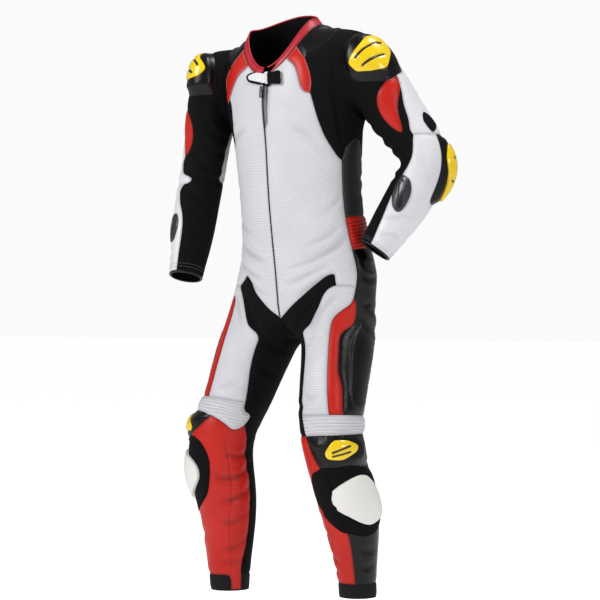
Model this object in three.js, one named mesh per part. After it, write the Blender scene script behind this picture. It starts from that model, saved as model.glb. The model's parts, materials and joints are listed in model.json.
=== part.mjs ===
// A one-piece motorcycle race suit in leather, worn and hollow, with no wearer.
// Millimetres, +Z up, the chest faces -Y and the wearer's left is +X.
// The origin is the middle of the neck opening, where the shoulders carry the suit.
import * as THREE from "three";

const DEG = Math.PI / 180;
const leather = 2.2;
const seamGap = 0.5;
const zipHalfWidth = 3.2;
const layerGap = 0.5;
const crotchDrop = 30;
const crotchShift = 14;
const cutAngle = 44;
const cutSpread = 20;

// The trunk is a net of rings from the collar down and columns from the zip round to the middle of the back.
const half = { zip: 0, groin: 3, front: 5, yoke: 7, armFront: 8, armTop: 10, armBack: 12, back: 14, middle: 17 };
const ring = { collar: 0, neck: 2, yokeEnd: 8, shoulder: 5, armpit: 10, side: 12, ribs: 15, hip: 17, groin: 21 };
const round = 2 * half.middle;
const crotchSteps = 6;

// half, fore, aft: half width and depths of a ring. zFore, zSide, zAft: its heights; dip: how sharply it falls at the middle.
// x, y: its centre; turn, lean: degrees about the upright and to the wearer's right. peak: the rise of the cut over the thigh.
// front, yoke, arm: the seams, in degrees from the zip.
const trunkRings = [
  { half: 91, fore: 78, aft: 74, zFore: -76, zSide: 38, zAft: 64, dip: 2, x: -2, y: 0, turn: 0, lean: 6, front: 46, yoke: 62, arm: 22, peak: 0 },
  { half: 95, fore: 82, aft: 78, zFore: -86, zSide: 29, zAft: 54, dip: 2, x: -2, y: 0, turn: 0, lean: 6, front: 44, yoke: 60, arm: 22, peak: 0 },
  { half: 100, fore: 86, aft: 82, zFore: -96, zSide: 20, zAft: 42, dip: 2, x: -1, y: 0, turn: 0, lean: 6, front: 42, yoke: 58, arm: 22, peak: 0 },
  { half: 118, fore: 94, aft: 94, zFore: -109, zSide: 15, zAft: 16, dip: 2, x: 0, y: 2, turn: 0, lean: 7, front: 42, yoke: 56, arm: 22, peak: 0 },
  { half: 138, fore: 102, aft: 103, zFore: -124, zSide: 9, zAft: -12, dip: 2, x: 1, y: 4, turn: 0, lean: 7, front: 43, yoke: 53, arm: 22, peak: 0 },
  { half: 158, fore: 108, aft: 110, zFore: -142, zSide: 2, zAft: -40, dip: 2, x: 4, y: 6, turn: 0, lean: 7, front: 44, yoke: 51, arm: 23, peak: 0 },
  { half: 172, fore: 114, aft: 116, zFore: -162, zSide: -40, zAft: -76, dip: 2, x: 8, y: 8, turn: -1, lean: 6, front: 46, yoke: 52, arm: 24, peak: 0 },
  { half: 178, fore: 119, aft: 120, zFore: -184, zSide: -86, zAft: -114, dip: 2, x: 12, y: 10, turn: -2, lean: 5, front: 50, yoke: 55, arm: 24, peak: 0 },
  { half: 180, fore: 123, aft: 122, zFore: -207, zSide: -130, zAft: -152, dip: 2, x: 18, y: 12, turn: -3, lean: 4, front: 55, yoke: 59, arm: 23, peak: 0 },
  { half: 181, fore: 126, aft: 122, zFore: -231, zSide: -168, zAft: -186, dip: 2, x: 24, y: 15, turn: -4, lean: 3, front: 52, yoke: 63, arm: 20, peak: 0 },
  { half: 181, fore: 128, aft: 121, zFore: -256, zSide: -208, zAft: -224, dip: 2, x: 29, y: 18, turn: -5, lean: 2, front: 52, yoke: 66, arm: 18, peak: 0 },
  { half: 179, fore: 129, aft: 119, zFore: -290, zSide: -260, zAft: -272, dip: 2, x: 33, y: 20, turn: -6, lean: 1, front: 53, yoke: 70, arm: 16, peak: 0 },
  { half: 176, fore: 129, aft: 116, zFore: -328, zSide: -304, zAft: -314, dip: 2, x: 35, y: 21, turn: -7, lean: 0, front: 54, yoke: 73, arm: 14, peak: 0 },
  { half: 172, fore: 128, aft: 113, zFore: -368, zSide: -346, zAft: -352, dip: 2, x: 36, y: 23, turn: -7, lean: 0, front: 54, yoke: 73, arm: 14, peak: 0 },
  { half: 169, fore: 127, aft: 112, zFore: -412, zSide: -394, zAft: -392, dip: 1.6, x: 37, y: 25, turn: -7, lean: 0, front: 54, yoke: 74, arm: 14, peak: 0 },
  { half: 170, fore: 126, aft: 114, zFore: -468, zSide: -446, zAft: -436, dip: 1.2, x: 40, y: 28, turn: -7, lean: 0, front: 54, yoke: 74, arm: 14, peak: 0 },
  { half: 175, fore: 125, aft: 122, zFore: -520, zSide: -488, zAft: -484, dip: 1.2, x: 44, y: 30, turn: -7, lean: 0, front: 54, yoke: 75, arm: 13, peak: 0 },
  { half: 183, fore: 124, aft: 132, zFore: -568, zSide: -530, zAft: -534, dip: 1.4, x: 47, y: 32, turn: -6, lean: 0, front: 54, yoke: 76, arm: 12, peak: 4 },
  { half: 190, fore: 123, aft: 138, zFore: -602, zSide: -556, zAft: -578, dip: 2, x: 48, y: 33, turn: -6, lean: 0, front: 53, yoke: 75, arm: 12, peak: 12 },
  { half: 195, fore: 121, aft: 141, zFore: -634, zSide: -578, zAft: -620, dip: 3, x: 48, y: 33, turn: -5, lean: 0, front: 52, yoke: 74, arm: 12, peak: 22 },
  { half: 198, fore: 117, aft: 139, zFore: -666, zSide: -600, zAft: -660, dip: 4, x: 47, y: 32, turn: -4, lean: 0, front: 50, yoke: 73, arm: 12, peak: 32 },
  { half: 200, fore: 107, aft: 128, zFore: -698, zSide: -622, zAft: -700, dip: 5, x: 40, y: 30, turn: -3, lean: 0, front: 48, yoke: 72, arm: 12, peak: 40 },
];

// x, y, z: the middle of a sleeve's ring. wide, deep: its half width across and along face, the way its outer side looks.
// lift: how far the ring leans out over the armpit, in degrees; the others stand square to the arm.
const sleeveSteps = 2;
const sleeveRound = 18;
const sleeveRings = {
  left: [
    { x: 243, y: 37, z: -100, wide: 78, deep: 113, face: 80, lift: 74 },
    { x: 273, y: 43, z: -150, wide: 74, deep: 92, face: 84, lift: 56 },
    { x: 299, y: 50, z: -200, wide: 67, deep: 69, face: 86, lift: 38 },
    { x: 327, y: 58, z: -236, wide: 65, deep: 65, face: 86, lift: 34 },
    { x: 358, y: 64, z: -272, wide: 66, deep: 66, face: 88 },
    { x: 385, y: 66, z: -308, wide: 68, deep: 68, face: 86 },
    { x: 373, y: 56, z: -350, wide: 65, deep: 67, face: 84 },
    { x: 347, y: 42, z: -392, wide: 61, deep: 62, face: 84 },
    { x: 323, y: 29, z: -434, wide: 57, deep: 58, face: 84 },
    { x: 300, y: 14, z: -474, wide: 51, deep: 52, face: 84 },
    { x: 281, y: 0, z: -508, wide: 44, deep: 45, face: 84 },
    { x: 271, y: -9, z: -527, wide: 41, deep: 41, face: 84 },
  ],
  right: [
    { x: -192, y: -15, z: -112, wide: 74, deep: 105, face: -76, lift: 69 },
    { x: -212, y: -17, z: -157, wide: 70, deep: 84, face: -78, lift: 49 },
    { x: -217, y: -17, z: -206, wide: 62, deep: 66, face: -80, lift: 31 },
    { x: -222, y: -16, z: -249, wide: 58, deep: 58, face: -80, lift: 13 },
    { x: -233, y: -14, z: -300, wide: 57, deep: 57, face: -84 },
    { x: -239, y: -18, z: -350, wide: 57, deep: 58, face: -88 },
    { x: -242, y: -28, z: -392, wide: 57, deep: 57, face: -92 },
    { x: -243, y: -39, z: -430, wide: 57, deep: 57, face: -92 },
    { x: -242, y: -49, z: -468, wide: 56, deep: 56, face: -92 },
    { x: -240, y: -61, z: -505, wide: 52, deep: 53, face: -92 },
    { x: -238, y: -74, z: -545, wide: 44, deep: 45, face: -92 },
    { x: -237, y: -90, z: -590, wide: 39, deep: 41, face: -92 },
  ],
};

// x, y, z: the middle of a leg's ring. wide, fore, aft: half width across face, and the depths along it; face: the way the knee looks.
// inner, red, outer: the seams of the white front and of the red strip beside it, in degrees from face.
const legSteps = 4;
const legRound = half.middle + crotchSteps;
const legRings = {
  left: [
    { x: 134, y: 40, z: -757, wide: 92, fore: 92, aft: 100, face: 22, inner: 44, red: -6, outer: 12 },
    { x: 139, y: 26, z: -800, wide: 89, fore: 90, aft: 96, face: 26, inner: 50, red: -9, outer: 11 },
    { x: 142, y: 10, z: -843, wide: 86, fore: 88, aft: 92, face: 31, inner: 57, red: -12, outer: 9 },
    { x: 145, y: -3, z: -886, wide: 84, fore: 86, aft: 88, face: 36, inner: 68, red: -15, outer: 6 },
    { x: 148, y: -12, z: -935, wide: 81, fore: 84, aft: 84, face: 41, inner: 86, red: -18, outer: 4 },
    { x: 152, y: -18, z: -986, wide: 79, fore: 84, aft: 79, face: 46, inner: 78, red: -12, outer: 8 },
    { x: 154, y: -14, z: -1024, wide: 75, fore: 84, aft: 74, face: 50, inner: 64, red: -6, outer: 14 },
    { x: 159, y: 0, z: -1062, wide: 74, fore: 80, aft: 74, face: 51, inner: 54, red: -6, outer: 14 },
    { x: 164, y: 14, z: -1101, wide: 76, fore: 74, aft: 80, face: 51, inner: 54, red: -6, outer: 14 },
    { x: 170, y: 28, z: -1144, wide: 76, fore: 70, aft: 84, face: 51, inner: 54, red: -6, outer: 14 },
    { x: 174, y: 43, z: -1187, wide: 73, fore: 66, aft: 82, face: 51, inner: 54, red: -6, outer: 14 },
    { x: 172, y: 53, z: -1230, wide: 66, fore: 60, aft: 74, face: 51, inner: 54, red: -6, outer: 14 },
    { x: 171, y: 62, z: -1273, wide: 57, fore: 54, aft: 64, face: 51, inner: 54, red: -6, outer: 14 },
    { x: 171, y: 70, z: -1316, wide: 49, fore: 49, aft: 54, face: 51, inner: 54, red: -6, outer: 14 },
    { x: 171, y: 74, z: -1352, wide: 46, fore: 46, aft: 48, face: 51, inner: 54, red: -6, outer: 14 },
    { x: 170, y: 76, z: -1386, wide: 45, fore: 46, aft: 47, face: 51, inner: 54, red: -6, outer: 14 },
  ],
  right: [
    { x: -89, y: 14, z: -757, wide: 98, fore: 94, aft: 102, face: -18, inner: 43, red: 11, outer: 36 },
    { x: -100, y: 10, z: -795, wide: 96, fore: 92, aft: 98, face: -20, inner: 48, red: 9, outer: 36 },
    { x: -114, y: 2, z: -832, wide: 90, fore: 90, aft: 94, face: -22, inner: 56, red: 7, outer: 35 },
    { x: -121, y: -8, z: -868, wide: 86, fore: 88, aft: 90, face: -24, inner: 67, red: 3, outer: 34 },
    { x: -122, y: -18, z: -900, wide: 85, fore: 86, aft: 86, face: -25, inner: 86, red: 0, outer: 32 },
    { x: -144, y: -32, z: -942, wide: 84, fore: 86, aft: 81, face: -25, inner: 78, red: -2, outer: 28 },
    { x: -156, y: -40, z: -978, wide: 82, fore: 86, aft: 78, face: -25, inner: 64, red: -6, outer: 20 },
    { x: -165, y: -44, z: -1014, wide: 81, fore: 82, aft: 80, face: -25, inner: 54, red: -6, outer: 14 },
    { x: -165, y: -44, z: -1052, wide: 81, fore: 78, aft: 86, face: -27, inner: 54, red: -6, outer: 14 },
    { x: -162, y: -40, z: -1095, wide: 81, fore: 74, aft: 88, face: -30, inner: 54, red: -6, outer: 14 },
    { x: -158, y: -34, z: -1142, wide: 79, fore: 68, aft: 86, face: -34, inner: 54, red: -6, outer: 14 },
    { x: -155, y: -27, z: -1192, wide: 74, fore: 62, aft: 80, face: -39, inner: 54, red: -6, outer: 14 },
    { x: -157, y: -22, z: -1242, wide: 66, fore: 56, aft: 70, face: -44, inner: 54, red: -6, outer: 14 },
    { x: -157, y: -17, z: -1297, wide: 56, fore: 52, aft: 58, face: -49, inner: 54, red: -6, outer: 14 },
    { x: -155, y: -14, z: -1345, wide: 48, fore: 48, aft: 50, face: -52, inner: 54, red: -6, outer: 14 },
    { x: -155, y: -13, z: -1378, wide: 46, fore: 46, aft: 47, face: -53, inner: 54, red: -6, outer: 14 },
  ],
};
// Where the columns of a leg lie round it, in degrees from the way the knee looks towards the outer side.
function legColumns(r) {
  return [
    { at: 0, angle: -r.inner },
    { at: 5, angle: r.red },
    { at: 7, angle: r.outer },
    { at: 10, angle: 76 },
    { at: 14, angle: 148 },
    { at: 17, angle: 202 },
    { at: 20, angle: 254 },
    { at: 23, angle: 360 - r.inner },
  ];
}


const colour = {
  white: 0xe9e9ea,
  red: 0xc8141c,
  black: 0x17181b,
  stretch: 0x0d0d0f,
  grey: 0x3a3c40,
  yellow: 0xe6df2a,
  plastic: 0x1d1e20,
  slider: 0xf1f1ee,
  metal: 0xb9bcc0,
};

const v3 = (x, y, z) => new THREE.Vector3(x, y, z);
const sides = { left: 1, right: -1 };

// A value between the entries of a table of places and angles.
function between(table, at) {
  const next = Math.max(1, table.findIndex((entry) => entry.at >= at));
  const a = table[next - 1];
  const b = table[next];
  return a.angle + ((b.angle - a.angle) * (at - a.at)) / (b.at - a.at);
}

// The net: points shared by all the pieces, and faces that each carry a piece's name.
const points = [];
const faces = [];
const ids = new Map();

function addPoint(key, point) {
  ids.set(key, points.length);
  points.push(point);
}

function trunkKey(row, column) {
  return `trunk ${row} ${((column % round) + round) % round}`;
}

function trunkPoint(row, column) {
  const r = trunkRings[row];
  const left = column <= half.middle;
  const step = left ? column : round - column;
  const angles = [
    { at: 0, angle: 0 },
    { at: half.front, angle: r.front },
    { at: half.yoke, angle: r.yoke },
    { at: half.armFront, angle: Math.max(r.yoke + 7, 90 - r.arm) },
    { at: half.armTop, angle: 92 },
    { at: half.armBack, angle: 92 + r.arm },
    { at: half.back, angle: 136 },
    { at: half.middle, angle: 180 },
  ];
  const angle = between(angles, step) * DEG;
  const depth = angle < Math.PI / 2 ? r.fore : r.aft;
  const across = (left ? 1 : -1) * r.half * Math.sin(angle);
  const along = -depth * Math.cos(angle);
  const ends = angle < Math.PI / 2 ? r.zFore : r.zAft;
  const fall = Math.pow(Math.abs(Math.cos(angle)), r.dip);
  const cutRise = r.peak * Math.exp(-(((angle / DEG - cutAngle) / cutSpread) ** 2));
  const height = r.zSide + (ends - r.zSide) * fall + across * Math.tan(r.lean * DEG) + cutRise;
  const turn = r.turn * DEG;
  return v3(
    r.x + across * Math.cos(turn) - along * Math.sin(turn),
    r.y + across * Math.sin(turn) + along * Math.cos(turn),
    height,
  );
}

for (let row = 0; row <= ring.groin; row++) {
  for (let column = 0; column < round; column++) {
    addPoint(trunkKey(row, column), trunkPoint(row, column));
  }
}

// The edge of an armhole, from the top of the shoulder forwards and round.
function armholePlaces() {
  const places = [];
  for (let c = half.armTop; c > half.armFront; c--) places.push([ring.shoulder, c]);
  for (let r = ring.shoulder; r < ring.armpit; r++) places.push([r, half.armFront]);
  for (let c = half.armFront; c < half.armBack; c++) places.push([ring.armpit, c]);
  for (let r = ring.armpit; r > ring.shoulder; r--) places.push([r, half.armBack]);
  for (let c = half.armBack; c > half.armTop; c--) places.push([ring.shoulder, c]);
  return places;
}

const armhole = armholePlaces();

function sleeveKey(side, row, column) {
  const c = ((column % sleeveRound) + sleeveRound) % sleeveRound;
  if (row > 0) return `sleeve ${side} ${row} ${c}`;
  const [r, h] = armhole[c];
  return trunkKey(r, side === "left" ? h : round - h);
}

function legKey(side, row, column) {
  const c = ((column % legRound) + legRound) % legRound;
  if (row > 0) return `leg ${side} ${row} ${c}`;
  if (c <= half.middle) return trunkKey(ring.groin, side === "left" ? c : round - c);
  return `crotch ${c - half.middle}`;
}

// A point between two, leaving the first along one direction and reaching the second along the other.
function hermite(a, b, ta, tb, t) {
  const t2 = t * t;
  const t3 = t2 * t;
  return a
    .clone()
    .multiplyScalar(2 * t3 - 3 * t2 + 1)
    .addScaledVector(ta, t3 - 2 * t2 + t)
    .addScaledVector(b, -2 * t3 + 3 * t2)
    .addScaledVector(tb, t3 - t2);
}

function tubeAxis(rings, index) {
  const a = rings[Math.max(0, index - 1)];
  const b = rings[Math.min(rings.length - 1, index + 1)];
  return v3(b.x - a.x, b.y - a.y, b.z - a.z).normalize();
}

// The frame of a tube's ring: the way its face looks, and the way round from it.
function tubeFrame(rings, index, tilt, sign) {
  const r = rings[index];
  const axis = tubeAxis(rings, index).lerp(v3(0, 0, -1), tilt).normalize();
  if (r.lift) axis.set(sign * Math.sin(r.lift * DEG), 0, -Math.cos(r.lift * DEG));
  const face = v3(Math.sin(r.face * DEG), -Math.cos(r.face * DEG), 0);
  face.addScaledVector(axis, -face.dot(axis)).normalize();
  return { axis, face, across: v3(0, 0, 0).crossVectors(axis, face) };
}

for (const [side, sign] of Object.entries(sides)) {
  const rings = sleeveRings[side];
  const ringPoint = (index, column) => {
    const r = rings[index];
    const { face, across } = tubeFrame(rings, index, 0, sign);
    const angle = (column / sleeveRound) * 2 * Math.PI;
    return v3(r.x, r.y, r.z)
      .addScaledVector(face, r.deep * Math.cos(angle))
      .addScaledVector(across, sign * r.wide * Math.sin(angle));
  };
  for (let column = 0; column < sleeveRound; column++) {
    const start = points[ids.get(sleeveKey(side, 0, column))];
    const end = ringPoint(0, column);
    const reach = start.distanceTo(end);
    const out = v3(sign * 0.97, 0, -0.2).multiplyScalar(reach);
    const down = tubeAxis(rings, 0).multiplyScalar(reach);
    for (let row = 1; row <= sleeveSteps; row++) {
      const t = row / (sleeveSteps + 1);
      addPoint(sleeveKey(side, row, column), hermite(start, end, out, down, t));
    }
    rings.forEach((_, i) => addPoint(sleeveKey(side, sleeveSteps + 1 + i, column), ringPoint(i, column)));
  }
}
const sleeveEnd = sleeveSteps + sleeveRings.left.length;

const crotchFront = points[ids.get(trunkKey(ring.groin, 0))];
const crotchBack = points[ids.get(trunkKey(ring.groin, half.middle))];
for (let step = 1; step < crotchSteps; step++) {
  const t = step / crotchSteps;
  const point = crotchBack.clone().lerp(crotchFront, t);
  point.z -= crotchDrop * Math.sin(Math.PI * t);
  point.x -= crotchShift * Math.sin(Math.PI * t);
  addPoint(`crotch ${step}`, point);
}

for (const [side, sign] of Object.entries(sides)) {
  const rings = legRings[side];
  const ringPoint = (index, column) => {
    const r = rings[index];
    const { face, across } = tubeFrame(rings, index, 0.6, sign);
    const angle = between(legColumns(r), column) * DEG;
    const depth = Math.cos(angle) > 0 ? r.fore : r.aft;
    return v3(r.x, r.y, r.z)
      .addScaledVector(face, depth * Math.cos(angle))
      .addScaledVector(across, -sign * r.wide * Math.sin(angle));
  };
  for (let column = 0; column < legRound; column++) {
    const start = points[ids.get(legKey(side, 0, column))];
    const end = ringPoint(0, column);
    const reach = start.distanceTo(end);
    const out = v3(0, 0, -reach);
    const down = tubeAxis(rings, 0).multiplyScalar(reach);
    for (let row = 1; row <= legSteps; row++) {
      addPoint(legKey(side, row, column), hermite(start, end, out, down, row / (legSteps + 1)));
    }
    rings.forEach((_, i) => addPoint(legKey(side, legSteps + 1 + i, column), ringPoint(i, column)));
  }
}
const legEnd = legSteps + legRings.left.length;

// The pieces are painted over the net in blocks of rows and columns.
// A corner (top or bottom, fore or aft) of one cell may carry its neighbour's name, where a seam runs aslant.
const paint = { trunk: new Map(), sleeve: new Map(), leg: new Map() };
function block(part, name, r0, r1, c0, c1) {
  const wrap = { trunk: round, sleeve: sleeveRound, leg: legRound }[part];
  for (let r = r0; r < r1; r++) {
    for (let c = c0; c < c1; c++) paint[part].set(`${r} ${((c % wrap) + wrap) % wrap}`, { name });
  }
}
function corner(part, name, r, c, where) {
  const wrap = { trunk: round, sleeve: sleeveRound, leg: legRound }[part];
  const cell = paint[part].get(`${r} ${((c % wrap) + wrap) % wrap}`);
  cell.corner = where;
  cell.other = name;
}

block("trunk", "shoulder", ring.neck, ring.shoulder, half.yoke, half.back);
block("trunk", "shoulder", ring.shoulder, ring.side, half.armBack, half.back);
block("trunk", "chest_side", ring.shoulder, ring.side, half.yoke, half.armFront);
block("trunk", "sleeve_stretch", ring.armpit, ring.side, half.armFront, half.armBack);
block("trunk", "back_centre", ring.neck, ring.ribs, half.back, half.middle);
block("trunk", "side_panel", ring.side, ring.ribs, half.yoke, half.back);
block("trunk", "lumbar_ribs", ring.ribs, ring.hip, half.yoke, half.middle);
block("trunk", "thigh_outer", ring.hip, ring.groin, half.yoke, half.back);
block("trunk", "leg_back", ring.hip, ring.groin, half.back, half.middle);
block("trunk", "front", ring.neck, ring.groin, half.zip, half.yoke);
block("trunk", "yoke", ring.neck, ring.yokeEnd, half.front, half.yoke);
corner("trunk", "front", ring.yokeEnd - 1, half.front, "bottom fore");
corner("trunk", "sleeve_stretch", ring.side - 1, half.yoke, "bottom aft");
block("trunk", "collar", ring.collar, ring.neck, half.zip, half.middle);

block("sleeve", "sleeve_white", 0, sleeveEnd, 0, sleeveRound);
block("sleeve", "sleeve_stretch", 0, 8, 1, 9);
block("sleeve", "sleeve_stretch", 0, 4, 9, 13);
block("sleeve", "sleeve_stretch", 8, sleeveEnd, 5, 12);
block("sleeve", "forearm_white", 8, sleeveEnd, 12, 23);
block("sleeve", "forearm_white", 7, 8, 0, 2);
corner("sleeve", "forearm_white", 7, 2, "bottom fore");
block("sleeve", "sleeve_red", 4, 6, 1, 4);
block("sleeve", "sleeve_red", 6, 7, 2, 4);
corner("sleeve", "sleeve_stretch", 4, 3, "top aft");
corner("sleeve", "sleeve_stretch", 5, 1, "bottom fore");
corner("sleeve", "sleeve_stretch", 6, 2, "bottom fore");
corner("sleeve", "sleeve_stretch", 6, 3, "bottom aft");
block("sleeve", "sleeve_stretch", 0, 1, -1, 4);
block("sleeve", "shoulder_cup", 1, 4, -1, 4);
corner("sleeve", "sleeve_white", 3, -1, "bottom fore");
corner("sleeve", "sleeve_stretch", 3, 3, "bottom aft");
block("sleeve", "elbow_cup", 7, 10, 14, 18);

block("leg", "thigh_front", 0, 9, 0, 5);
block("leg", "thigh_red", 1, 9, 5, 7);
block("leg", "thigh_front", 0, 1, 5, 7);
corner("leg", "thigh_front", 1, 5, "top fore");
block("leg", "thigh_outer", 0, 9, 7, 14);
block("leg", "leg_back", 0, 9, 14, 17);
block("leg", "inner_stretch", 0, 9, 17, 23);
block("leg", "inner_stretch", 9, 19, 13, 18);
block("leg", "knee_ribs", 9, 10, 0, 13);
block("leg", "inner_stretch", 9, 10, 18, 23);
block("leg", "knee_cup", 10, 12, 0, 10);
block("leg", "shin_outer", 10, 19, 10, 13);
block("leg", "shin_outer", 12, 19, 2, 13);
block("leg", "shin_red", 10, 12, 18, 23);
block("leg", "shin_red", 12, 19, 18, 25);
block("leg", "shin_red", 16, 19, 2, 3);
corner("leg", "shin_red", 15, 2, "bottom fore");
corner("leg", "shin_red", 11, 0, "bottom fore");
block("leg", "ankle_hem", 19, 20, 0, 23);
block("leg", "inner_stretch", 0, 1, 0, 4);
block("leg", "inner_stretch", 1, 2, 0, 3);
block("leg", "inner_stretch", 2, 3, 0, 2);
corner("leg", "inner_stretch", 0, 4, "top fore");
corner("leg", "inner_stretch", 1, 3, "top fore");
corner("leg", "inner_stretch", 2, 2, "top fore");
corner("leg", "inner_stretch", 3, 0, "top fore");

const single = new Set(["collar", "back_centre", "lumbar_ribs"]);

function addCell(part, side, row, column, cell, key) {
  if (!cell) return;
  const c = [
    ids.get(key(row, column)),
    ids.get(key(row + 1, column)),
    ids.get(key(row + 1, column + 1)),
    ids.get(key(row, column + 1)),
  ];
  const flip = (part === "sleeve") !== (side === "right");
  const node = (name) => (single.has(name) ? name : `${name}_${side}`);
  const push = (name, list) =>
    faces.push({ node: node(name), part, side, row, column, ids: flip ? list.reverse() : list });
  if (!cell.corner) {
    push(cell.name, c);
    return;
  }
  const apex = { "top fore": 0, "bottom fore": 1, "bottom aft": 2, "top aft": 3 }[cell.corner];
  push(cell.other, [c[apex], c[(apex + 1) % 4], c[(apex + 3) % 4]]);
  push(cell.name, [c[(apex + 1) % 4], c[(apex + 2) % 4], c[(apex + 3) % 4]]);
}

for (const side of Object.keys(sides)) {
  for (let row = 0; row < ring.groin; row++) {
    for (let h = 0; h < half.middle; h++) {
      const hole = row >= ring.shoulder && row < ring.armpit && h >= half.armFront && h < half.armBack;
      if (hole) continue;
      const key = (r, c) => trunkKey(r, side === "left" ? c : round - c);
      addCell("trunk", side, row, h, paint.trunk.get(`${row} ${h}`), key);
    }
  }
  for (let row = 0; row < sleeveEnd; row++) {
    for (let c = 0; c < sleeveRound; c++) {
      addCell("sleeve", side, row, c, paint.sleeve.get(`${row} ${c}`), (r, k) => sleeveKey(side, r, k));
    }
  }
  for (let row = 0; row < legEnd; row++) {
    for (let c = 0; c < legRound; c++) {
      addCell("leg", side, row, c, paint.leg.get(`${row} ${c}`), (r, k) => legKey(side, r, k));
    }
  }
}

// The net is relaxed a little, so that the sleeves and legs run into the trunk; its open edges stay.
function relax(passes, strength) {
  const near = points.map(() => new Set());
  const seen = new Map();
  for (const f of faces) {
    f.ids.forEach((a, i) => {
      const b = f.ids[(i + 1) % f.ids.length];
      near[a].add(b);
      near[b].add(a);
      const edge = Math.min(a, b) + " " + Math.max(a, b);
      seen.set(edge, (seen.get(edge) || 0) + 1);
    });
  }
  const fixed = new Set();
  for (const [edge, count] of seen) {
    if (count === 1) edge.split(" ").forEach((id) => fixed.add(Number(id)));
  }
  for (let pass = 0; pass < passes; pass++) {
    const moved = points.map((p, id) => {
      if (fixed.has(id)) return p;
      const mean = v3(0, 0, 0);
      near[id].forEach((other) => mean.add(points[other]));
      return p.clone().lerp(mean.multiplyScalar(1 / near[id].size), strength);
    });
    moved.forEach((p, id) => points[id].copy(p));
  }
}
relax(4, 0.45);

const normals = points.map(() => v3(0, 0, 0));
for (const f of faces) {
  const [a, b, c] = f.ids.map((id) => points[id]);
  const d = points[f.ids[f.ids.length - 1]];
  const n = f.ids.length === 4
    ? v3(0, 0, 0).crossVectors(c.clone().sub(a), d.clone().sub(b))
    : v3(0, 0, 0).crossVectors(b.clone().sub(a), c.clone().sub(a));
  f.ids.forEach((id) => normals[id].add(n));
}
normals.forEach((n) => n.normalize());

// Each piece is its faces with a wall: inner points on the net, outer points moved out along its normals.
// wall: the thickness. raise: how far the middle stands up. trim: how far its edge is drawn in.
// slit: the piece goes round the trunk and is open beside the zip.
const outerPoint = new Map();

function pieceGeometry(list, spec) {
  const { wall = leather, raise = 0, trim = seamGap / 2, ribs = 0, ribHeight = 0 } = spec;
  const cut = spec.slit ? (f, id) => `${id} ${isZip(id) ? f.side : ""}` : (_, id) => `${id}`;
  const keys = new Map();
  const local = [];
  const use = (f, id) => {
    const key = cut(f, id);
    if (!keys.has(key)) {
      keys.set(key, local.length);
      local.push({ id, p: points[id].clone(), n: normals[id], edges: [] });
    }
    return keys.get(key);
  };
  const polys = list.map((f) => f.ids.map((id) => use(f, id)));
  const border = borderOf(polys);
  for (const [a, b] of border) {
    const along = local[b].p.clone().sub(local[a].p).normalize();
    const width = isZip(local[a].id) && isZip(local[b].id) ? zipHalfWidth + seamGap : trim;
    for (const v of [local[a], local[b]]) {
      v.edges.push({ inward: v3(0, 0, 0).crossVectors(v.n, along).normalize(), width });
    }
  }
  // How many steps each point lies from the edge.
  local.forEach((v) => (v.depth = v.edges.length ? 0 : 1));
  const moved = local.map((v) => {
    if (v.edges.length < 2) return v.p;
    const [e, f] = v.edges;
    const cos = e.inward.dot(f.inward);
    const det = Math.max(1 - cos * cos, 0.12);
    const a = cos > 0.94 ? (e.width + f.width) / 4 : (e.width - cos * f.width) / det;
    const b = cos > 0.94 ? (e.width + f.width) / 4 : (f.width - cos * e.width) / det;
    return v.p.clone().addScaledVector(e.inward, a).addScaledVector(f.inward, b);
  });
  const base = moved;
  const rise = local.map((v) => wall + raise * v.depth);
  const top = base.map((p, i) => p.clone().addScaledVector(local[i].n, rise[i]));
  local.forEach((v, i) => {
    outerPoint.set(`${spec.node} ${v.id}`, top[i]);
  });
  if (ribs) return ribbed(polys, base, top, local, ribs, ribHeight);
  return closed(polys, border, base, top, (i) => local[i].id);
}

// The edges that only one face has.
function borderOf(polys) {
  const edges = new Map();
  for (const poly of polys) {
    poly.forEach((a, i) => edges.set(`${a} ${poly[(i + 1) % poly.length]}`, [a, poly[(i + 1) % poly.length]]));
  }
  return [...edges.values()].filter(([a, b]) => !edges.has(`${b} ${a}`));
}

function isZip(id) {
  return zipIds.has(id);
}
const zipIds = new Set();
for (let row = ring.collar; row <= ring.groin; row++) zipIds.add(ids.get(trunkKey(row, 0)));

// A four-sided face is split from the corner that comes first in the net, alike in a piece and in what lies on it.
function triangles(poly, order) {
  if (poly.length === 3) return [poly];
  const [a, b, c, d] = poly;
  const rank = poly.map(order);
  const first = rank.indexOf(Math.min(...rank));
  return first % 2 === 0 ? [[a, b, c], [a, c, d]] : [[b, c, d], [b, d, a]];
}

function closed(polys, border, base, top, order = (i) => i) {
  const count = base.length;
  const position = [...base, ...top].flatMap((p) => [p.x, p.y, p.z]);
  const index = [];
  for (const poly of polys) {
    for (const [a, b, c] of triangles(poly, order)) {
      index.push(a + count, b + count, c + count);
      index.push(a, c, b);
    }
  }
  for (const [a, b] of border) index.push(a, b, b + count, a, b + count, a + count);
  const geometry = new THREE.BufferGeometry();
  geometry.setAttribute("position", new THREE.Float32BufferAttribute(position, 3));
  geometry.setIndex(index);
  return geometry;
}

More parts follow.
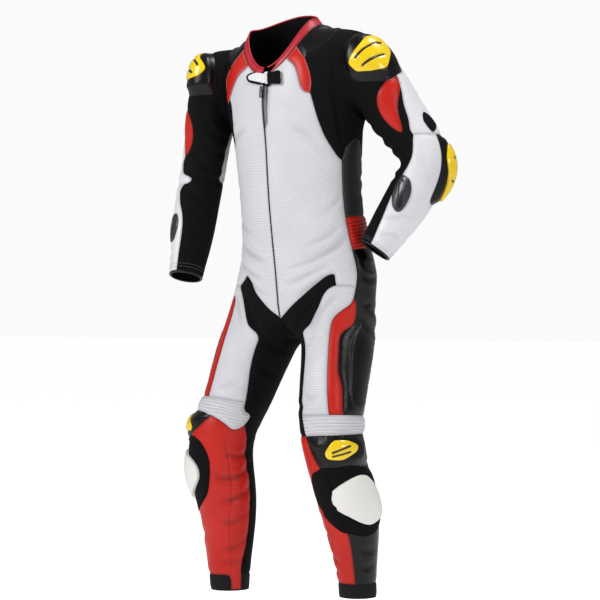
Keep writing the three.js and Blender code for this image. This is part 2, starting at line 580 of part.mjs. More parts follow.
// A ribbed piece: each cell is split across its rows, and every second line of its outer points stands up.
function ribbed(polys, base, top, local, ribs, height) {
  const parts = ribs * 2;
  const made = new Map();
  const bottomPoints = [];
  const topPoints = [];
  const between2 = (a, b, step, count) => {
    const flip = a > b;
    const key = step === 0 ? `${a}` : step === count ? `${b}` : flip ? `${b} ${a} ${count - step}` : `${a} ${b} ${step}`;
    if (!made.has(key)) {
      made.set(key, bottomPoints.length);
      const t = step / count;
      bottomPoints.push(base[a].clone().lerp(base[b], t));
      const n = local[a].n.clone().lerp(local[b].n, t).normalize();
      topPoints.push(top[a].clone().lerp(top[b], t).addScaledVector(n, step % 2 ? height : 0));
    }
    return made.get(key);
  };
  const small = [];
  for (const [a, b, c, d] of polys) {
    for (let s = 0; s < parts; s++) {
      small.push([
        between2(a, b, s, parts),
        between2(a, b, s + 1, parts),
        between2(d, c, s + 1, parts),
        between2(d, c, s, parts),
      ]);
    }
  }
  return closed(small, borderOf(small), bottomPoints, topPoints);
}

const group = new THREE.Group();
function addMesh(name, geometry, look) {
  const material = new THREE.MeshStandardMaterial(look);
  const mesh = new THREE.Mesh(geometry, material);
  mesh.name = name;
  group.add(mesh);
}

const looks = {
  white: { color: colour.white, roughness: 0.5, metalness: 0 },
  red: { color: colour.red, roughness: 0.5, metalness: 0 },
  black: { color: colour.black, roughness: 0.4, metalness: 0 },
  stretch: { color: colour.stretch, roughness: 0.9, metalness: 0 },
  grey: { color: colour.grey, roughness: 0.7, metalness: 0 },
  yellow: { color: colour.yellow, roughness: 0.25, metalness: 0 },
  plastic: { color: colour.plastic, roughness: 0.5, metalness: 0 },
  slider: { color: colour.slider, roughness: 0.35, metalness: 0 },
  metal: { color: colour.metal, roughness: 0.3, metalness: 1 },
};

const pieces = {
  collar: { look: "red", slit: true },
  front: { look: "white" },
  yoke: { look: "red" },
  shoulder: { look: "black" },
  chest_side: { look: "black" },
  side_panel: { look: "grey" },
  back_centre: { look: "white" },
  lumbar_ribs: { look: "red", ribs: 2, ribHeight: 3 },
  sleeve_stretch: { look: "stretch" },
  sleeve_red: { look: "red" },
  sleeve_white: { look: "white" },
  forearm_white: { look: "white" },
  shoulder_cup: { look: "black", raise: 5 },
  elbow_cup: { look: "black", raise: 7 },
  thigh_front: { look: "white" },
  thigh_red: { look: "red" },
  thigh_outer: { look: "black" },
  leg_back: { look: "white" },
  inner_stretch: { look: "stretch" },
  knee_ribs: { look: "white", ribs: 3, ribHeight: 3 },
  knee_cup: { look: "black", raise: 6 },
  shin_red: { look: "red" },
  shin_outer: { look: "black" },
  ankle_hem: { look: "stretch" },
};

for (const [name, spec] of Object.entries(pieces)) {
  const nodes = single.has(name) ? [name] : Object.keys(sides).map((side) => `${name}_${side}`);
  for (const node of nodes) {
    const geometry = pieceGeometry(faces.filter((f) => f.node === node), { ...spec, node });
    addMesh(node, geometry, looks[spec.look]);
  }
}

// What is fixed on a piece is made from the outer points of the piece's own cells, moved out.
// trim: how far its edge stands in from those cells. raise: how far its middle stands up.
// turn: columns by which the right one lies further round, where that knee is turned out.
const overlays = {
  shoulder_plate: { host: "shoulder_cup", rows: [2, 4], columns: [0, 3], wall: 2.5, raise: 3, trim: 2, gap: 0.8, look: "yellow" },
  elbow_plate: { host: "elbow_cup", rows: [7, 10], columns: [14, 18], wall: 3, raise: 6, trim: 9, gap: 0.8, look: "yellow" },
  forearm_vent: { host: "forearm_white", rows: [9, 11], columns: [2, 5], wall: 1.6, raise: 2, trim: 7, look: "plastic" },
  knee_plate: { host: "knee_cup", rows: [10, 12], columns: [3, 8], turn: 2, wall: 2.5, raise: 3, trim: 11, gap: 0.8, look: "yellow" },
  knee_slider: { host: "shin_outer", rows: [12, 15], columns: [3, 8], turn: 2, wall: 6, raise: 10, trim: 7, look: "slider" },
};
const overlayParts = { shoulder_plate: "sleeve", elbow_plate: "sleeve", forearm_vent: "sleeve" };

// Moves a point some way towards another.
function drawIn(point, towards, far) {
  point.lerp(towards, Math.min(0.45, far / point.distanceTo(towards)));
}

function overlayGeometry(side, sign, part, spec) {
  const turn = side === "right" ? spec.turn || 0 : 0;
  const columns = spec.columns.map((c) => c + turn);
  const key = part === "sleeve" ? sleeveKey : legKey;
  const place = (r, c) => {
    const id = ids.get(key(side, r, c));
    return { id, p: outerPoint.get(`${spec.host}_${side} ${id}`), n: normals[id] };
  };
  const wide = columns[1] - columns[0] + 1;
  const base = [];
  const top = [];
  const order = [];
  for (let r = spec.rows[0]; r <= spec.rows[1]; r++) {
    for (let c = columns[0]; c <= columns[1]; c++) {
      const here = place(r, c);
      const stepR = r === spec.rows[1] ? r - 1 : r + 1;
      const stepC = c === columns[1] ? c - 1 : c + 1;
      const edgeR = r === spec.rows[0] || r === spec.rows[1];
      const edgeC = c === columns[0] || c === columns[1];
      const toR = place(stepR, c);
      const toC = place(r, stepC);
      const across = place(stepR, stepC);
      const p = here.p.clone();
      if (edgeR && edgeC) {
        const first = Math.min(here.id, toR.id, toC.id, across.id);
        if (first === here.id || first === across.id) drawIn(p, across.p, spec.trim * 1.9);
        else drawIn(p, toR.p.clone().lerp(toC.p, 0.5), spec.trim * 1.4);
      } else if (edgeR) drawIn(p, toR.p, spec.trim);
      else if (edgeC) drawIn(p, toC.p, spec.trim);
      const gap = spec.gap || layerGap;
      const lift = spec.wall + (edgeR || edgeC ? 0 : spec.raise);
      base.push(p.clone().addScaledVector(here.n, gap));
      top.push(p.clone().addScaledVector(here.n, gap + lift));
      order.push(here.id);
    }
  }
  const polys = [];
  const flip = (part === "sleeve") !== (sign < 0);
  for (let r = 0; r < spec.rows[1] - spec.rows[0]; r++) {
    for (let c = 0; c < wide - 1; c++) {
      const a = r * wide + c;
      const poly = [a, a + wide, a + wide + 1, a + 1];
      polys.push(flip ? poly.reverse() : poly);
    }
  }
  return closed(polys, borderOf(polys), base, top, (i) => order[i]);
}

for (const [name, spec] of Object.entries(overlays)) {
  for (const [side, sign] of Object.entries(sides)) {
    const part = overlayParts[name] || "leg";
    addMesh(`${name}_${side}`, overlayGeometry(side, sign, part, spec), looks[spec.look]);
  }
}

// A place between the points of the trunk; a column below zero lies on the wearer's right.
function trunkPlace(row, column) {
  const r = Math.min(Math.floor(row), ring.groin - 1);
  const c = Math.floor(column);
  const corners = [[r, c], [r, c + 1], [r + 1, c], [r + 1, c + 1]].map(([a, b]) => ids.get(trunkKey(a, b)));
  const mix = (list) =>
    list[0].clone().lerp(list[1], column - c).lerp(list[2].clone().lerp(list[3], column - c), row - r);
  return { p: mix(corners.map((id) => points[id])), n: mix(corners.map((id) => normals[id])).normalize() };
}

// A run of cross-sections, each a loop of places over the trunk, closed at its two ends.
function loft(sections) {
  const size = sections[0].length;
  const position = sections.flat().flatMap((p) => [p.x, p.y, p.z]);
  const index = [];
  for (let i = 0; i + 1 < sections.length; i++) {
    for (let k = 0; k < size; k++) {
      const a = i * size + k;
      const b = i * size + ((k + 1) % size);
      index.push(a, a + size, b, b, a + size, b + size);
    }
  }
  const last = (sections.length - 1) * size;
  for (let k = 1; k + 1 < size; k++) {
    index.push(0, k, k + 1);
    index.push(last, last + k + 1, last + k);
  }
  const corner3 = (i) => v3(...position.slice(index[i] * 3, index[i] * 3 + 3));
  let volume = 0;
  for (let i = 0; i < index.length; i += 3) {
    volume += corner3(i).dot(v3(0, 0, 0).crossVectors(corner3(i + 1), corner3(i + 2)));
  }
  const geometry = new THREE.BufferGeometry();
  geometry.setAttribute("position", new THREE.Float32BufferAttribute(position, 3));
  geometry.setIndex(volume < 0 ? index.reverse() : index);
  return geometry;
}

// The zip: a tape with the closed teeth standing up along its middle.
const zipTop = 1.2;
const zipBottom = 20.9;
const zipSection = [
  { out: 0, across: -3 },
  { out: 0, across: 3 },
  { out: 1.5, across: 3 },
  { out: 1.6, across: 1.6 },
  { out: 2.8, across: 1.2 },
  { out: 2.8, across: -1.2 },
  { out: 1.6, across: -1.6 },
  { out: 1.5, across: -3 },
];
const zipRows = [zipTop];
for (let row = ring.neck; row < ring.groin; row++) zipRows.push(row);
zipRows.push(zipBottom);
const zipSections = zipRows.map((row) => {
  const { p, n } = trunkPlace(row, 0);
  const next = trunkPlace(row, 0.5).p;
  const across = next.sub(p);
  across.addScaledVector(n, -across.dot(n)).normalize();
  return zipSection.map((s) => p.clone().addScaledVector(n, s.out).addScaledVector(across, s.across));
});
addMesh("zip", loft(zipSections), looks.plastic);

// The throat tab: a short strap across the two ends of the collar.
const tab = { rows: [0.5, 2.7], columns: [-3.2, 2.6], lift: 3.6, wall: 2.6, steps: 8 };
const tabSections = [];
for (let step = 0; step <= tab.steps; step++) {
  const t = step / tab.steps;
  const column = tab.columns[0] + (tab.columns[1] - tab.columns[0]) * t;
  const taper = Math.min(1, 0.35 + t * 2.4);
  const middle = (tab.rows[0] + tab.rows[1]) / 2;
  const reach = ((tab.rows[1] - tab.rows[0]) / 2) * taper;
  const places = [middle - reach, middle, middle + reach].map((row) => trunkPlace(row, column));
  tabSections.push([
    ...places.map(({ p, n }) => p.clone().addScaledVector(n, tab.lift)),
    ...places.reverse().map(({ p, n }) => p.clone().addScaledVector(n, tab.lift + tab.wall)),
  ]);
}
addMesh("throat_tab", loft(tabSections), looks.plastic);

// The zip's slider, and the pull tab that swings on it.
const pullRow = 4.1;
const slider = { long: 15, wide: 9, high: 4, lift: 3.3 };
const pull = { long: 30, wide: 8, thick: 1.8, eye: 0.9, gap: 0.8 };
const pullPlace = trunkPlace(pullRow, 0);
const pullFrame = new THREE.Group();
pullFrame.position.copy(pullPlace.p).addScaledVector(pullPlace.n, slider.lift);
const slope = Math.atan2(pullPlace.n.z, -pullPlace.n.y);

function placed(geometry, tilt, shift) {
  geometry.applyMatrix4(new THREE.Matrix4().makeTranslation(shift.x, shift.y, shift.z));
  geometry.applyMatrix4(new THREE.Matrix4().makeRotationX(-tilt));
  geometry.applyMatrix4(new THREE.Matrix4().makeTranslation(...pullFrame.position.toArray()));
  return geometry;
}
const body = new THREE.Shape();
body.moveTo(-slider.wide / 2, slider.long / 2);
body.lineTo(-slider.wide / 3, -slider.long / 2);
body.lineTo(slider.wide / 3, -slider.long / 2);
body.lineTo(slider.wide / 2, slider.long / 2);
const bodyGeometry = new THREE.ExtrudeGeometry(body, { depth: slider.high, bevelEnabled: false });
bodyGeometry.rotateX(Math.PI / 2);
addMesh("zip_slider", placed(bodyGeometry, slope, v3(0, 0, 0)), looks.metal);

const leaf = new THREE.Shape();
leaf.moveTo(-pull.wide / 3, pull.eye);
leaf.lineTo(-pull.wide / 2, -pull.long * 0.4);
leaf.lineTo(-pull.wide / 2, -pull.long);
leaf.lineTo(pull.wide / 2, -pull.long);
leaf.lineTo(pull.wide / 2, -pull.long * 0.4);
leaf.lineTo(pull.wide / 3, pull.eye);
const leafGeometry = new THREE.ExtrudeGeometry(leaf, { depth: pull.thick, bevelEnabled: false });
leafGeometry.rotateX(Math.PI / 2);
addMesh("zip_pull", placed(leafGeometry, slope, v3(0, -slider.high - pull.gap, 0)), looks.plastic);

export default group;
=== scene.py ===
"""Looks of a one-piece leather motorcycle race suit, worn and hollow, with no wearer.

Metres, +Z up. The chest faces -Y and the wearer's left is +X. The suit's skin is one smooth net of
rings and columns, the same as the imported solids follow. Each panel is cut out of it, given a wall,
padding, seams, creases and ribs, and stands for its solid. The tables of rings, creases and
mouldings are in millimetres and degrees.
"""

import json
import logging
import math
from collections import defaultdict, namedtuple
from dataclasses import dataclass
from enum import Enum, IntEnum

import bmesh
import bpy
import numpy as np
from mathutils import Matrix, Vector, kdtree, noise
from mathutils.bvhtree import BVHTree

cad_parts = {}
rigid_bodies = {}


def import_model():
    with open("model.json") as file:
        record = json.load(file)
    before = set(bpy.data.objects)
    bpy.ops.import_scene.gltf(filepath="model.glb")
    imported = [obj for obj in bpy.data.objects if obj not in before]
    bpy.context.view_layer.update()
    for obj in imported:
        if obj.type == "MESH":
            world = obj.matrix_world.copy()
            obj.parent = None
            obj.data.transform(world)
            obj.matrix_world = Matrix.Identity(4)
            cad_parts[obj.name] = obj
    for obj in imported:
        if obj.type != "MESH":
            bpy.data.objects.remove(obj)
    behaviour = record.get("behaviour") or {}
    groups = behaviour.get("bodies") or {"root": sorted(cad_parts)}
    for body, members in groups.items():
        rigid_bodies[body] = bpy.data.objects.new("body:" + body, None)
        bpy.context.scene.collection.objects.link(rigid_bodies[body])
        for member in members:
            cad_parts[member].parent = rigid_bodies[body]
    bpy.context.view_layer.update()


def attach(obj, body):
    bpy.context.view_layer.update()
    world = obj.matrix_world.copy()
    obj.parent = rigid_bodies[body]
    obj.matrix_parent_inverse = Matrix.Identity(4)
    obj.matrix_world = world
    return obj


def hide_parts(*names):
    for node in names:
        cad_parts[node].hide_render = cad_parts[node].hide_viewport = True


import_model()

LOG = logging.getLogger("race_suit")

MM = 0.001
TINY = 1e-12
LEAST_RISE = 1e-9
SIDES = {"left": 1, "right": -1}
WALL = 2.2 * MM
SUBDIVISIONS = 3
CELL = 2**SUBDIVISIONS
SUIT = "suit"
PULL = "pull"


class Column(IntEnum):
    """Columns of half the trunk, from the zip round to the middle of the back."""

    ZIP = 0
    FRONT = 5
    YOKE = 7
    ARM_FRONT = 8
    ARM_TOP = 10
    ARM_BACK = 12
    BACK = 14
    MIDDLE = 17


class Row(IntEnum):
    """Rings of the trunk at which a seam or an armhole lies."""

    COLLAR = 0
    NECK = 2
    SHOULDER = 5
    YOKE_END = 8
    ARMPIT = 10
    SIDE = 12
    RIBS = 15
    HIP = 17
    GROIN = 21


class Part(Enum):
    """The three kinds of tube in the net, each with its number of columns."""

    TRUNK = 34
    SLEEVE = 18
    LEG = 23


QUARTER = 90
YOKE_WIDTH = 7
ARM_ANGLE = 92
BACK_ANGLE = 136
SLEEVE_WAY = (0.97, 0, -0.2)
LEG_TILT = 0.6
LEG_ANGLES = ((10, 76), (14, 148), (17, 202), (20, 254))
CROTCH_STEPS = 6
CROTCH_DROP = 30
CROTCH_SHIFT = 14
HOLE_ROWS = 0.866
FULL_TURN = 6.2832
CUT_ANGLE = 44
CUT_SPREAD = 20
SLEEVE_STEPS = 2
LEG_STEPS = 4
SLEEVE_END = 14
LEG_END = 20
RELAX_PASSES = 4
RELAX_STRENGTH = 0.45

TrunkRing = namedtuple(
    "TrunkRing",
    "half fore aft z_fore z_side z_aft dip x y turn lean front yoke arm peak",
)
TRUNK_RINGS = [
    TrunkRing(*row)
    for row in (
        (91, 78, 74, -76, 38, 64, 2, -2, 0, 0, 6, 46, 62, 22, 0),
        (95, 82, 78, -86, 29, 54, 2, -2, 0, 0, 6, 44, 60, 22, 0),
        (100, 86, 82, -96, 20, 42, 2, -1, 0, 0, 6, 42, 58, 22, 0),
        (118, 94, 94, -109, 15, 16, 2, 0, 2, 0, 7, 42, 56, 22, 0),
        (138, 102, 103, -124, 9, -12, 2, 1, 4, 0, 7, 43, 53, 22, 0),
        (158, 108, 110, -142, 2, -40, 2, 4, 6, 0, 7, 44, 51, 23, 0),
        (172, 114, 116, -162, -40, -76, 2, 8, 8, -1, 6, 46, 52, 24, 0),
        (178, 119, 120, -184, -86, -114, 2, 12, 10, -2, 5, 50, 55, 24, 0),
        (180, 123, 122, -207, -130, -152, 2, 18, 12, -3, 4, 55, 59, 23, 0),
        (181, 126, 122, -231, -168, -186, 2, 24, 15, -4, 3, 52, 63, 20, 0),
        (181, 128, 121, -256, -208, -224, 2, 29, 18, -5, 2, 52, 66, 18, 0),
        (179, 129, 119, -290, -260, -272, 2, 33, 20, -6, 1, 53, 70, 16, 0),
        (176, 129, 116, -328, -304, -314, 2, 35, 21, -7, 0, 54, 73, 14, 0),
        (172, 128, 113, -368, -346, -352, 2, 36, 23, -7, 0, 54, 73, 14, 0),
        (169, 127, 112, -412, -394, -392, 1.6, 37, 25, -7, 0, 54, 74, 14, 0),
        (170, 126, 114, -468, -446, -436, 1.2, 40, 28, -7, 0, 54, 74, 14, 0),
        (175, 125, 122, -520, -488, -484, 1.2, 44, 30, -7, 0, 54, 75, 13, 0),
        (183, 124, 132, -568, -530, -534, 1.4, 47, 32, -6, 0, 54, 76, 12, 4),
        (190, 123, 138, -602, -556, -578, 2, 48, 33, -6, 0, 53, 75, 12, 12),
        (195, 121, 141, -634, -578, -620, 3, 48, 33, -5, 0, 52, 74, 12, 22),
        (198, 117, 139, -666, -600, -660, 4, 47, 32, -4, 0, 50, 73, 12, 32),
        (200, 107, 128, -698, -622, -700, 5, 40, 30, -3, 0, 48, 72, 12, 40),
    )
]

SleeveRing = namedtuple("SleeveRing", "x y z wide deep face lift")
SLEEVE_RINGS = {
    "left": (
        (243, 37, -100, 78, 113, 80, 74),
        (273, 43, -150, 74, 92, 84, 56),
        (299, 50, -200, 67, 69, 86, 38),
        (327, 58, -236, 65, 65, 86, 34),
        (358, 64, -272, 66, 66, 88, 0),
        (385, 66, -308, 68, 68, 86, 0),
        (373, 56, -350, 65, 67, 84, 0),
        (347, 42, -392, 61, 62, 84, 0),
        (323, 29, -434, 57, 58, 84, 0),
        (300, 14, -474, 51, 52, 84, 0),
        (281, 0, -508, 44, 45, 84, 0),
        (271, -9, -527, 41, 41, 84, 0),
    ),
    "right": (
        (-192, -15, -112, 74, 105, -76, 69),
        (-212, -17, -157, 70, 84, -78, 49),
        (-217, -17, -206, 62, 66, -80, 31),
        (-222, -16, -249, 58, 58, -80, 13),
        (-233, -14, -300, 57, 57, -84, 0),
        (-239, -18, -350, 57, 58, -88, 0),
        (-242, -28, -392, 57, 57, -92, 0),
        (-243, -39, -430, 57, 57, -92, 0),
        (-242, -49, -468, 56, 56, -92, 0),
        (-240, -61, -505, 52, 53, -92, 0),
        (-238, -74, -545, 44, 45, -92, 0),
        (-237, -90, -590, 39, 41, -92, 0),
    ),
}

LegRing = namedtuple("LegRing", "x y z wide fore aft face inner red outer")
LEG_RINGS = {
    "left": (
        (134, 40, -757, 92, 92, 100, 22, 44, -6, 12),
        (139, 26, -800, 89, 90, 96, 26, 50, -9, 11),
        (142, 10, -843, 86, 88, 92, 31, 57, -12, 9),
        (145, -3, -886, 84, 86, 88, 36, 68, -15, 6),
        (148, -12, -935, 81, 84, 84, 41, 86, -18, 4),
        (152, -18, -986, 79, 84, 79, 46, 78, -12, 8),
        (154, -14, -1024, 75, 84, 74, 50, 64, -6, 14),
        (159, 0, -1062, 74, 80, 74, 51, 54, -6, 14),
        (164, 14, -1101, 76, 74, 80, 51, 54, -6, 14),
        (170, 28, -1144, 76, 70, 84, 51, 54, -6, 14),
        (174, 43, -1187, 73, 66, 82, 51, 54, -6, 14),
        (172, 53, -1230, 66, 60, 74, 51, 54, -6, 14),
        (171, 62, -1273, 57, 54, 64, 51, 54, -6, 14),
        (171, 70, -1316, 49, 49, 54, 51, 54, -6, 14),
        (171, 74, -1352, 46, 46, 48, 51, 54, -6, 14),
        (170, 76, -1386, 45, 46, 47, 51, 54, -6, 14),
    ),
    "right": (
        (-89, 14, -757, 98, 94, 102, -18, 43, 11, 36),
        (-100, 10, -795, 96, 92, 98, -20, 48, 9, 36),
        (-114, 2, -832, 90, 90, 94, -22, 56, 7, 35),
        (-121, -8, -868, 86, 88, 90, -24, 67, 3, 34),
        (-122, -18, -900, 85, 86, 86, -25, 86, 0, 32),
        (-144, -32, -942, 84, 86, 81, -25, 78, -2, 28),
        (-156, -40, -978, 82, 86, 78, -25, 64, -6, 20),
        (-165, -44, -1014, 81, 82, 80, -25, 54, -6, 14),
        (-165, -44, -1052, 81, 78, 86, -27, 54, -6, 14),
        (-162, -40, -1095, 81, 74, 88, -30, 54, -6, 14),
        (-158, -34, -1142, 79, 68, 86, -34, 54, -6, 14),
        (-155, -27, -1192, 74, 62, 80, -39, 54, -6, 14),
        (-157, -22, -1242, 66, 56, 70, -44, 54, -6, 14),
        (-157, -17, -1297, 56, 52, 58, -49, 54, -6, 14),
        (-155, -14, -1345, 48, 48, 50, -52, 54, -6, 14),
        (-155, -13, -1378, 46, 46, 47, -53, 54, -6, 14),
    ),
}


def rotation_between(table: list[tuple[float, float]], at: float) -> float:
    """A value between the entries of a table of places and angles.

    Args:
        table: pairs of a place and its angle, in order.
        at: the place that is asked for.

    Returns:
        The angle there, in the table's units.
    """
    places, angles = zip(*table)
    return float(np.interp(at, places, angles))


def unit(vector: np.ndarray) -> np.ndarray:
    """The vector, or each row of an array of them, at length one."""
    length = np.linalg.norm(vector, axis=-1, keepdims=True)
    return vector / np.maximum(length, TINY)


def tube_frame(rings: list, index: int, tilt: float, sign: int, lift: float) -> tuple:
    """The frame of a tube's ring.

    Args:
        rings: the tube's rings, in order.
        index: which ring.
        tilt: how far the ring is turned back towards level, from 0 to 1.
        sign: 1 on the wearer's left and -1 on their right.
        lift: degrees by which the ring leans out over the armpit, or 0.

    Returns:
        The tube's way, the way that the ring's face looks, and the way round from it.
    """
    before = rings[max(0, index - 1)]
    after = rings[min(len(rings) - 1, index + 1)]
    way = unit(np.array([after.x - before.x, after.y - before.y, after.z - before.z], float))
    way = unit(way * (1 - tilt) + np.array([0, 0, -1.0]) * tilt)
    if lift:
        way = np.array([sign * math.sin(math.radians(lift)), 0, -math.cos(math.radians(lift))])
    turn = math.radians(rings[index].face)
    face = np.array([math.sin(turn), -math.cos(turn), 0.0])
    face = unit(face - way * face.dot(way))
    return way, face, np.cross(way, face)


def hermite(a: np.ndarray, b: np.ndarray, ta: np.ndarray, tb: np.ndarray, t: float) -> np.ndarray:
    """A point between a and b, leaving a along ta and reaching b along tb."""
    t2, t3 = t * t, t * t * t
    return (2 * t3 - 3 * t2 + 1) * a + (t3 - 2 * t2 + t) * ta + (3 * t2 - 2 * t3) * b + (t3 - t2) * tb


@dataclass
class Cell:
    """One four-sided cell of the net, with the piece that it belongs to."""

    part: Part
    side: str
    row: int
    column: int
    ids: tuple[int, int, int, int]
    name: str
    corner: str = ""
    other: str = ""


# What each part of the net is painted with, in order: a block of cells between two rows and two
# columns, or one cell whose named corner goes to a neighbour where a seam runs aslant.
PAINT = {
    Part.TRUNK: (
        ("shoulder", Row.NECK, Row.SHOULDER, Column.YOKE, Column.BACK),
        ("shoulder", Row.SHOULDER, Row.SIDE, Column.ARM_BACK, Column.BACK),
        ("chest_side", Row.SHOULDER, Row.SIDE, Column.YOKE, Column.ARM_FRONT),
        ("sleeve_stretch", Row.ARMPIT, Row.SIDE, Column.ARM_FRONT, Column.ARM_BACK),
        ("back_centre", Row.NECK, Row.RIBS, Column.BACK, Column.MIDDLE),
        ("side_panel", Row.SIDE, Row.RIBS, Column.YOKE, Column.BACK),
        ("lumbar_ribs", Row.RIBS, Row.HIP, Column.YOKE, Column.MIDDLE),
        ("thigh_outer", Row.HIP, Row.GROIN, Column.YOKE, Column.BACK),
        ("leg_back", Row.HIP, Row.GROIN, Column.BACK, Column.MIDDLE),
        ("front", Row.NECK, Row.GROIN, Column.ZIP, Column.YOKE),
        ("yoke", Row.NECK, Row.YOKE_END, Column.FRONT, Column.YOKE),
        ("front", Row.YOKE_END - 1, Column.FRONT, "bottom fore"),
        ("sleeve_stretch", Row.SIDE - 1, Column.YOKE, "bottom aft"),
        ("collar", Row.COLLAR, Row.NECK, Column.ZIP, Column.MIDDLE),
    ),
    Part.SLEEVE: (
        ("sleeve_white", 0, SLEEVE_END, 0, Part.SLEEVE.value),
        ("sleeve_stretch", 0, 8, 1, 9),
        ("sleeve_stretch", 0, 4, 9, 13),
        ("sleeve_stretch", 8, SLEEVE_END, 5, 12),
        ("forearm_white", 8, SLEEVE_END, 12, 23),
        ("forearm_white", 7, 8, 0, 2),
        ("forearm_white", 7, 2, "bottom fore"),
        ("sleeve_red", 4, 6, 1, 4),
        ("sleeve_red", 6, 7, 2, 4),
        ("sleeve_stretch", 4, 3, "top aft"),
        ("sleeve_stretch", 5, 1, "bottom fore"),
        ("sleeve_stretch", 6, 2, "bottom fore"),
        ("sleeve_stretch", 6, 3, "bottom aft"),
        ("sleeve_stretch", 0, 1, -1, 4),
        ("shoulder_cup", 1, 4, -1, 4),
        ("sleeve_white", 3, -1, "bottom fore"),
        ("sleeve_stretch", 3, 3, "bottom aft"),
        ("elbow_cup", 7, 10, 14, 18),
    ),
    Part.LEG: (
        ("thigh_front", 0, 9, 0, 5),
        ("thigh_red", 1, 9, 5, 7),
        ("thigh_front", 0, 1, 5, 7),
        ("thigh_front", 1, 5, "top fore"),
        ("thigh_outer", 0, 9, 7, 14),
        ("leg_back", 0, 9, 14, 17),
        ("inner_stretch", 0, 9, 17, 23),
        ("inner_stretch", 9, 19, 13, 18),
        ("knee_ribs", 9, 10, 0, 13),
        ("inner_stretch", 9, 10, 18, 23),
        ("knee_cup", 10, 12, 0, 10),
        ("shin_outer", 10, 19, 10, 13),
        ("shin_outer", 12, 19, 2, 13),
        ("shin_red", 10, 12, 18, 23),
        ("shin_red", 12, 19, 18, 25),
        ("shin_red", 16, 19, 2, 3),
        ("shin_red", 15, 2, "bottom fore"),
        ("shin_red", 11, 0, "bottom fore"),
        ("ankle_hem", 19, 20, 0, 23),
        ("inner_stretch", 0, 1, 0, 4),
        ("inner_stretch", 1, 2, 0, 3),
        ("inner_stretch", 2, 3, 0, 2),
        ("inner_stretch", 0, 4, "top fore"),
        ("inner_stretch", 1, 3, "top fore"),
        ("inner_stretch", 2, 2, "top fore"),
        ("inner_stretch", 3, 0, "top fore"),
    ),
}


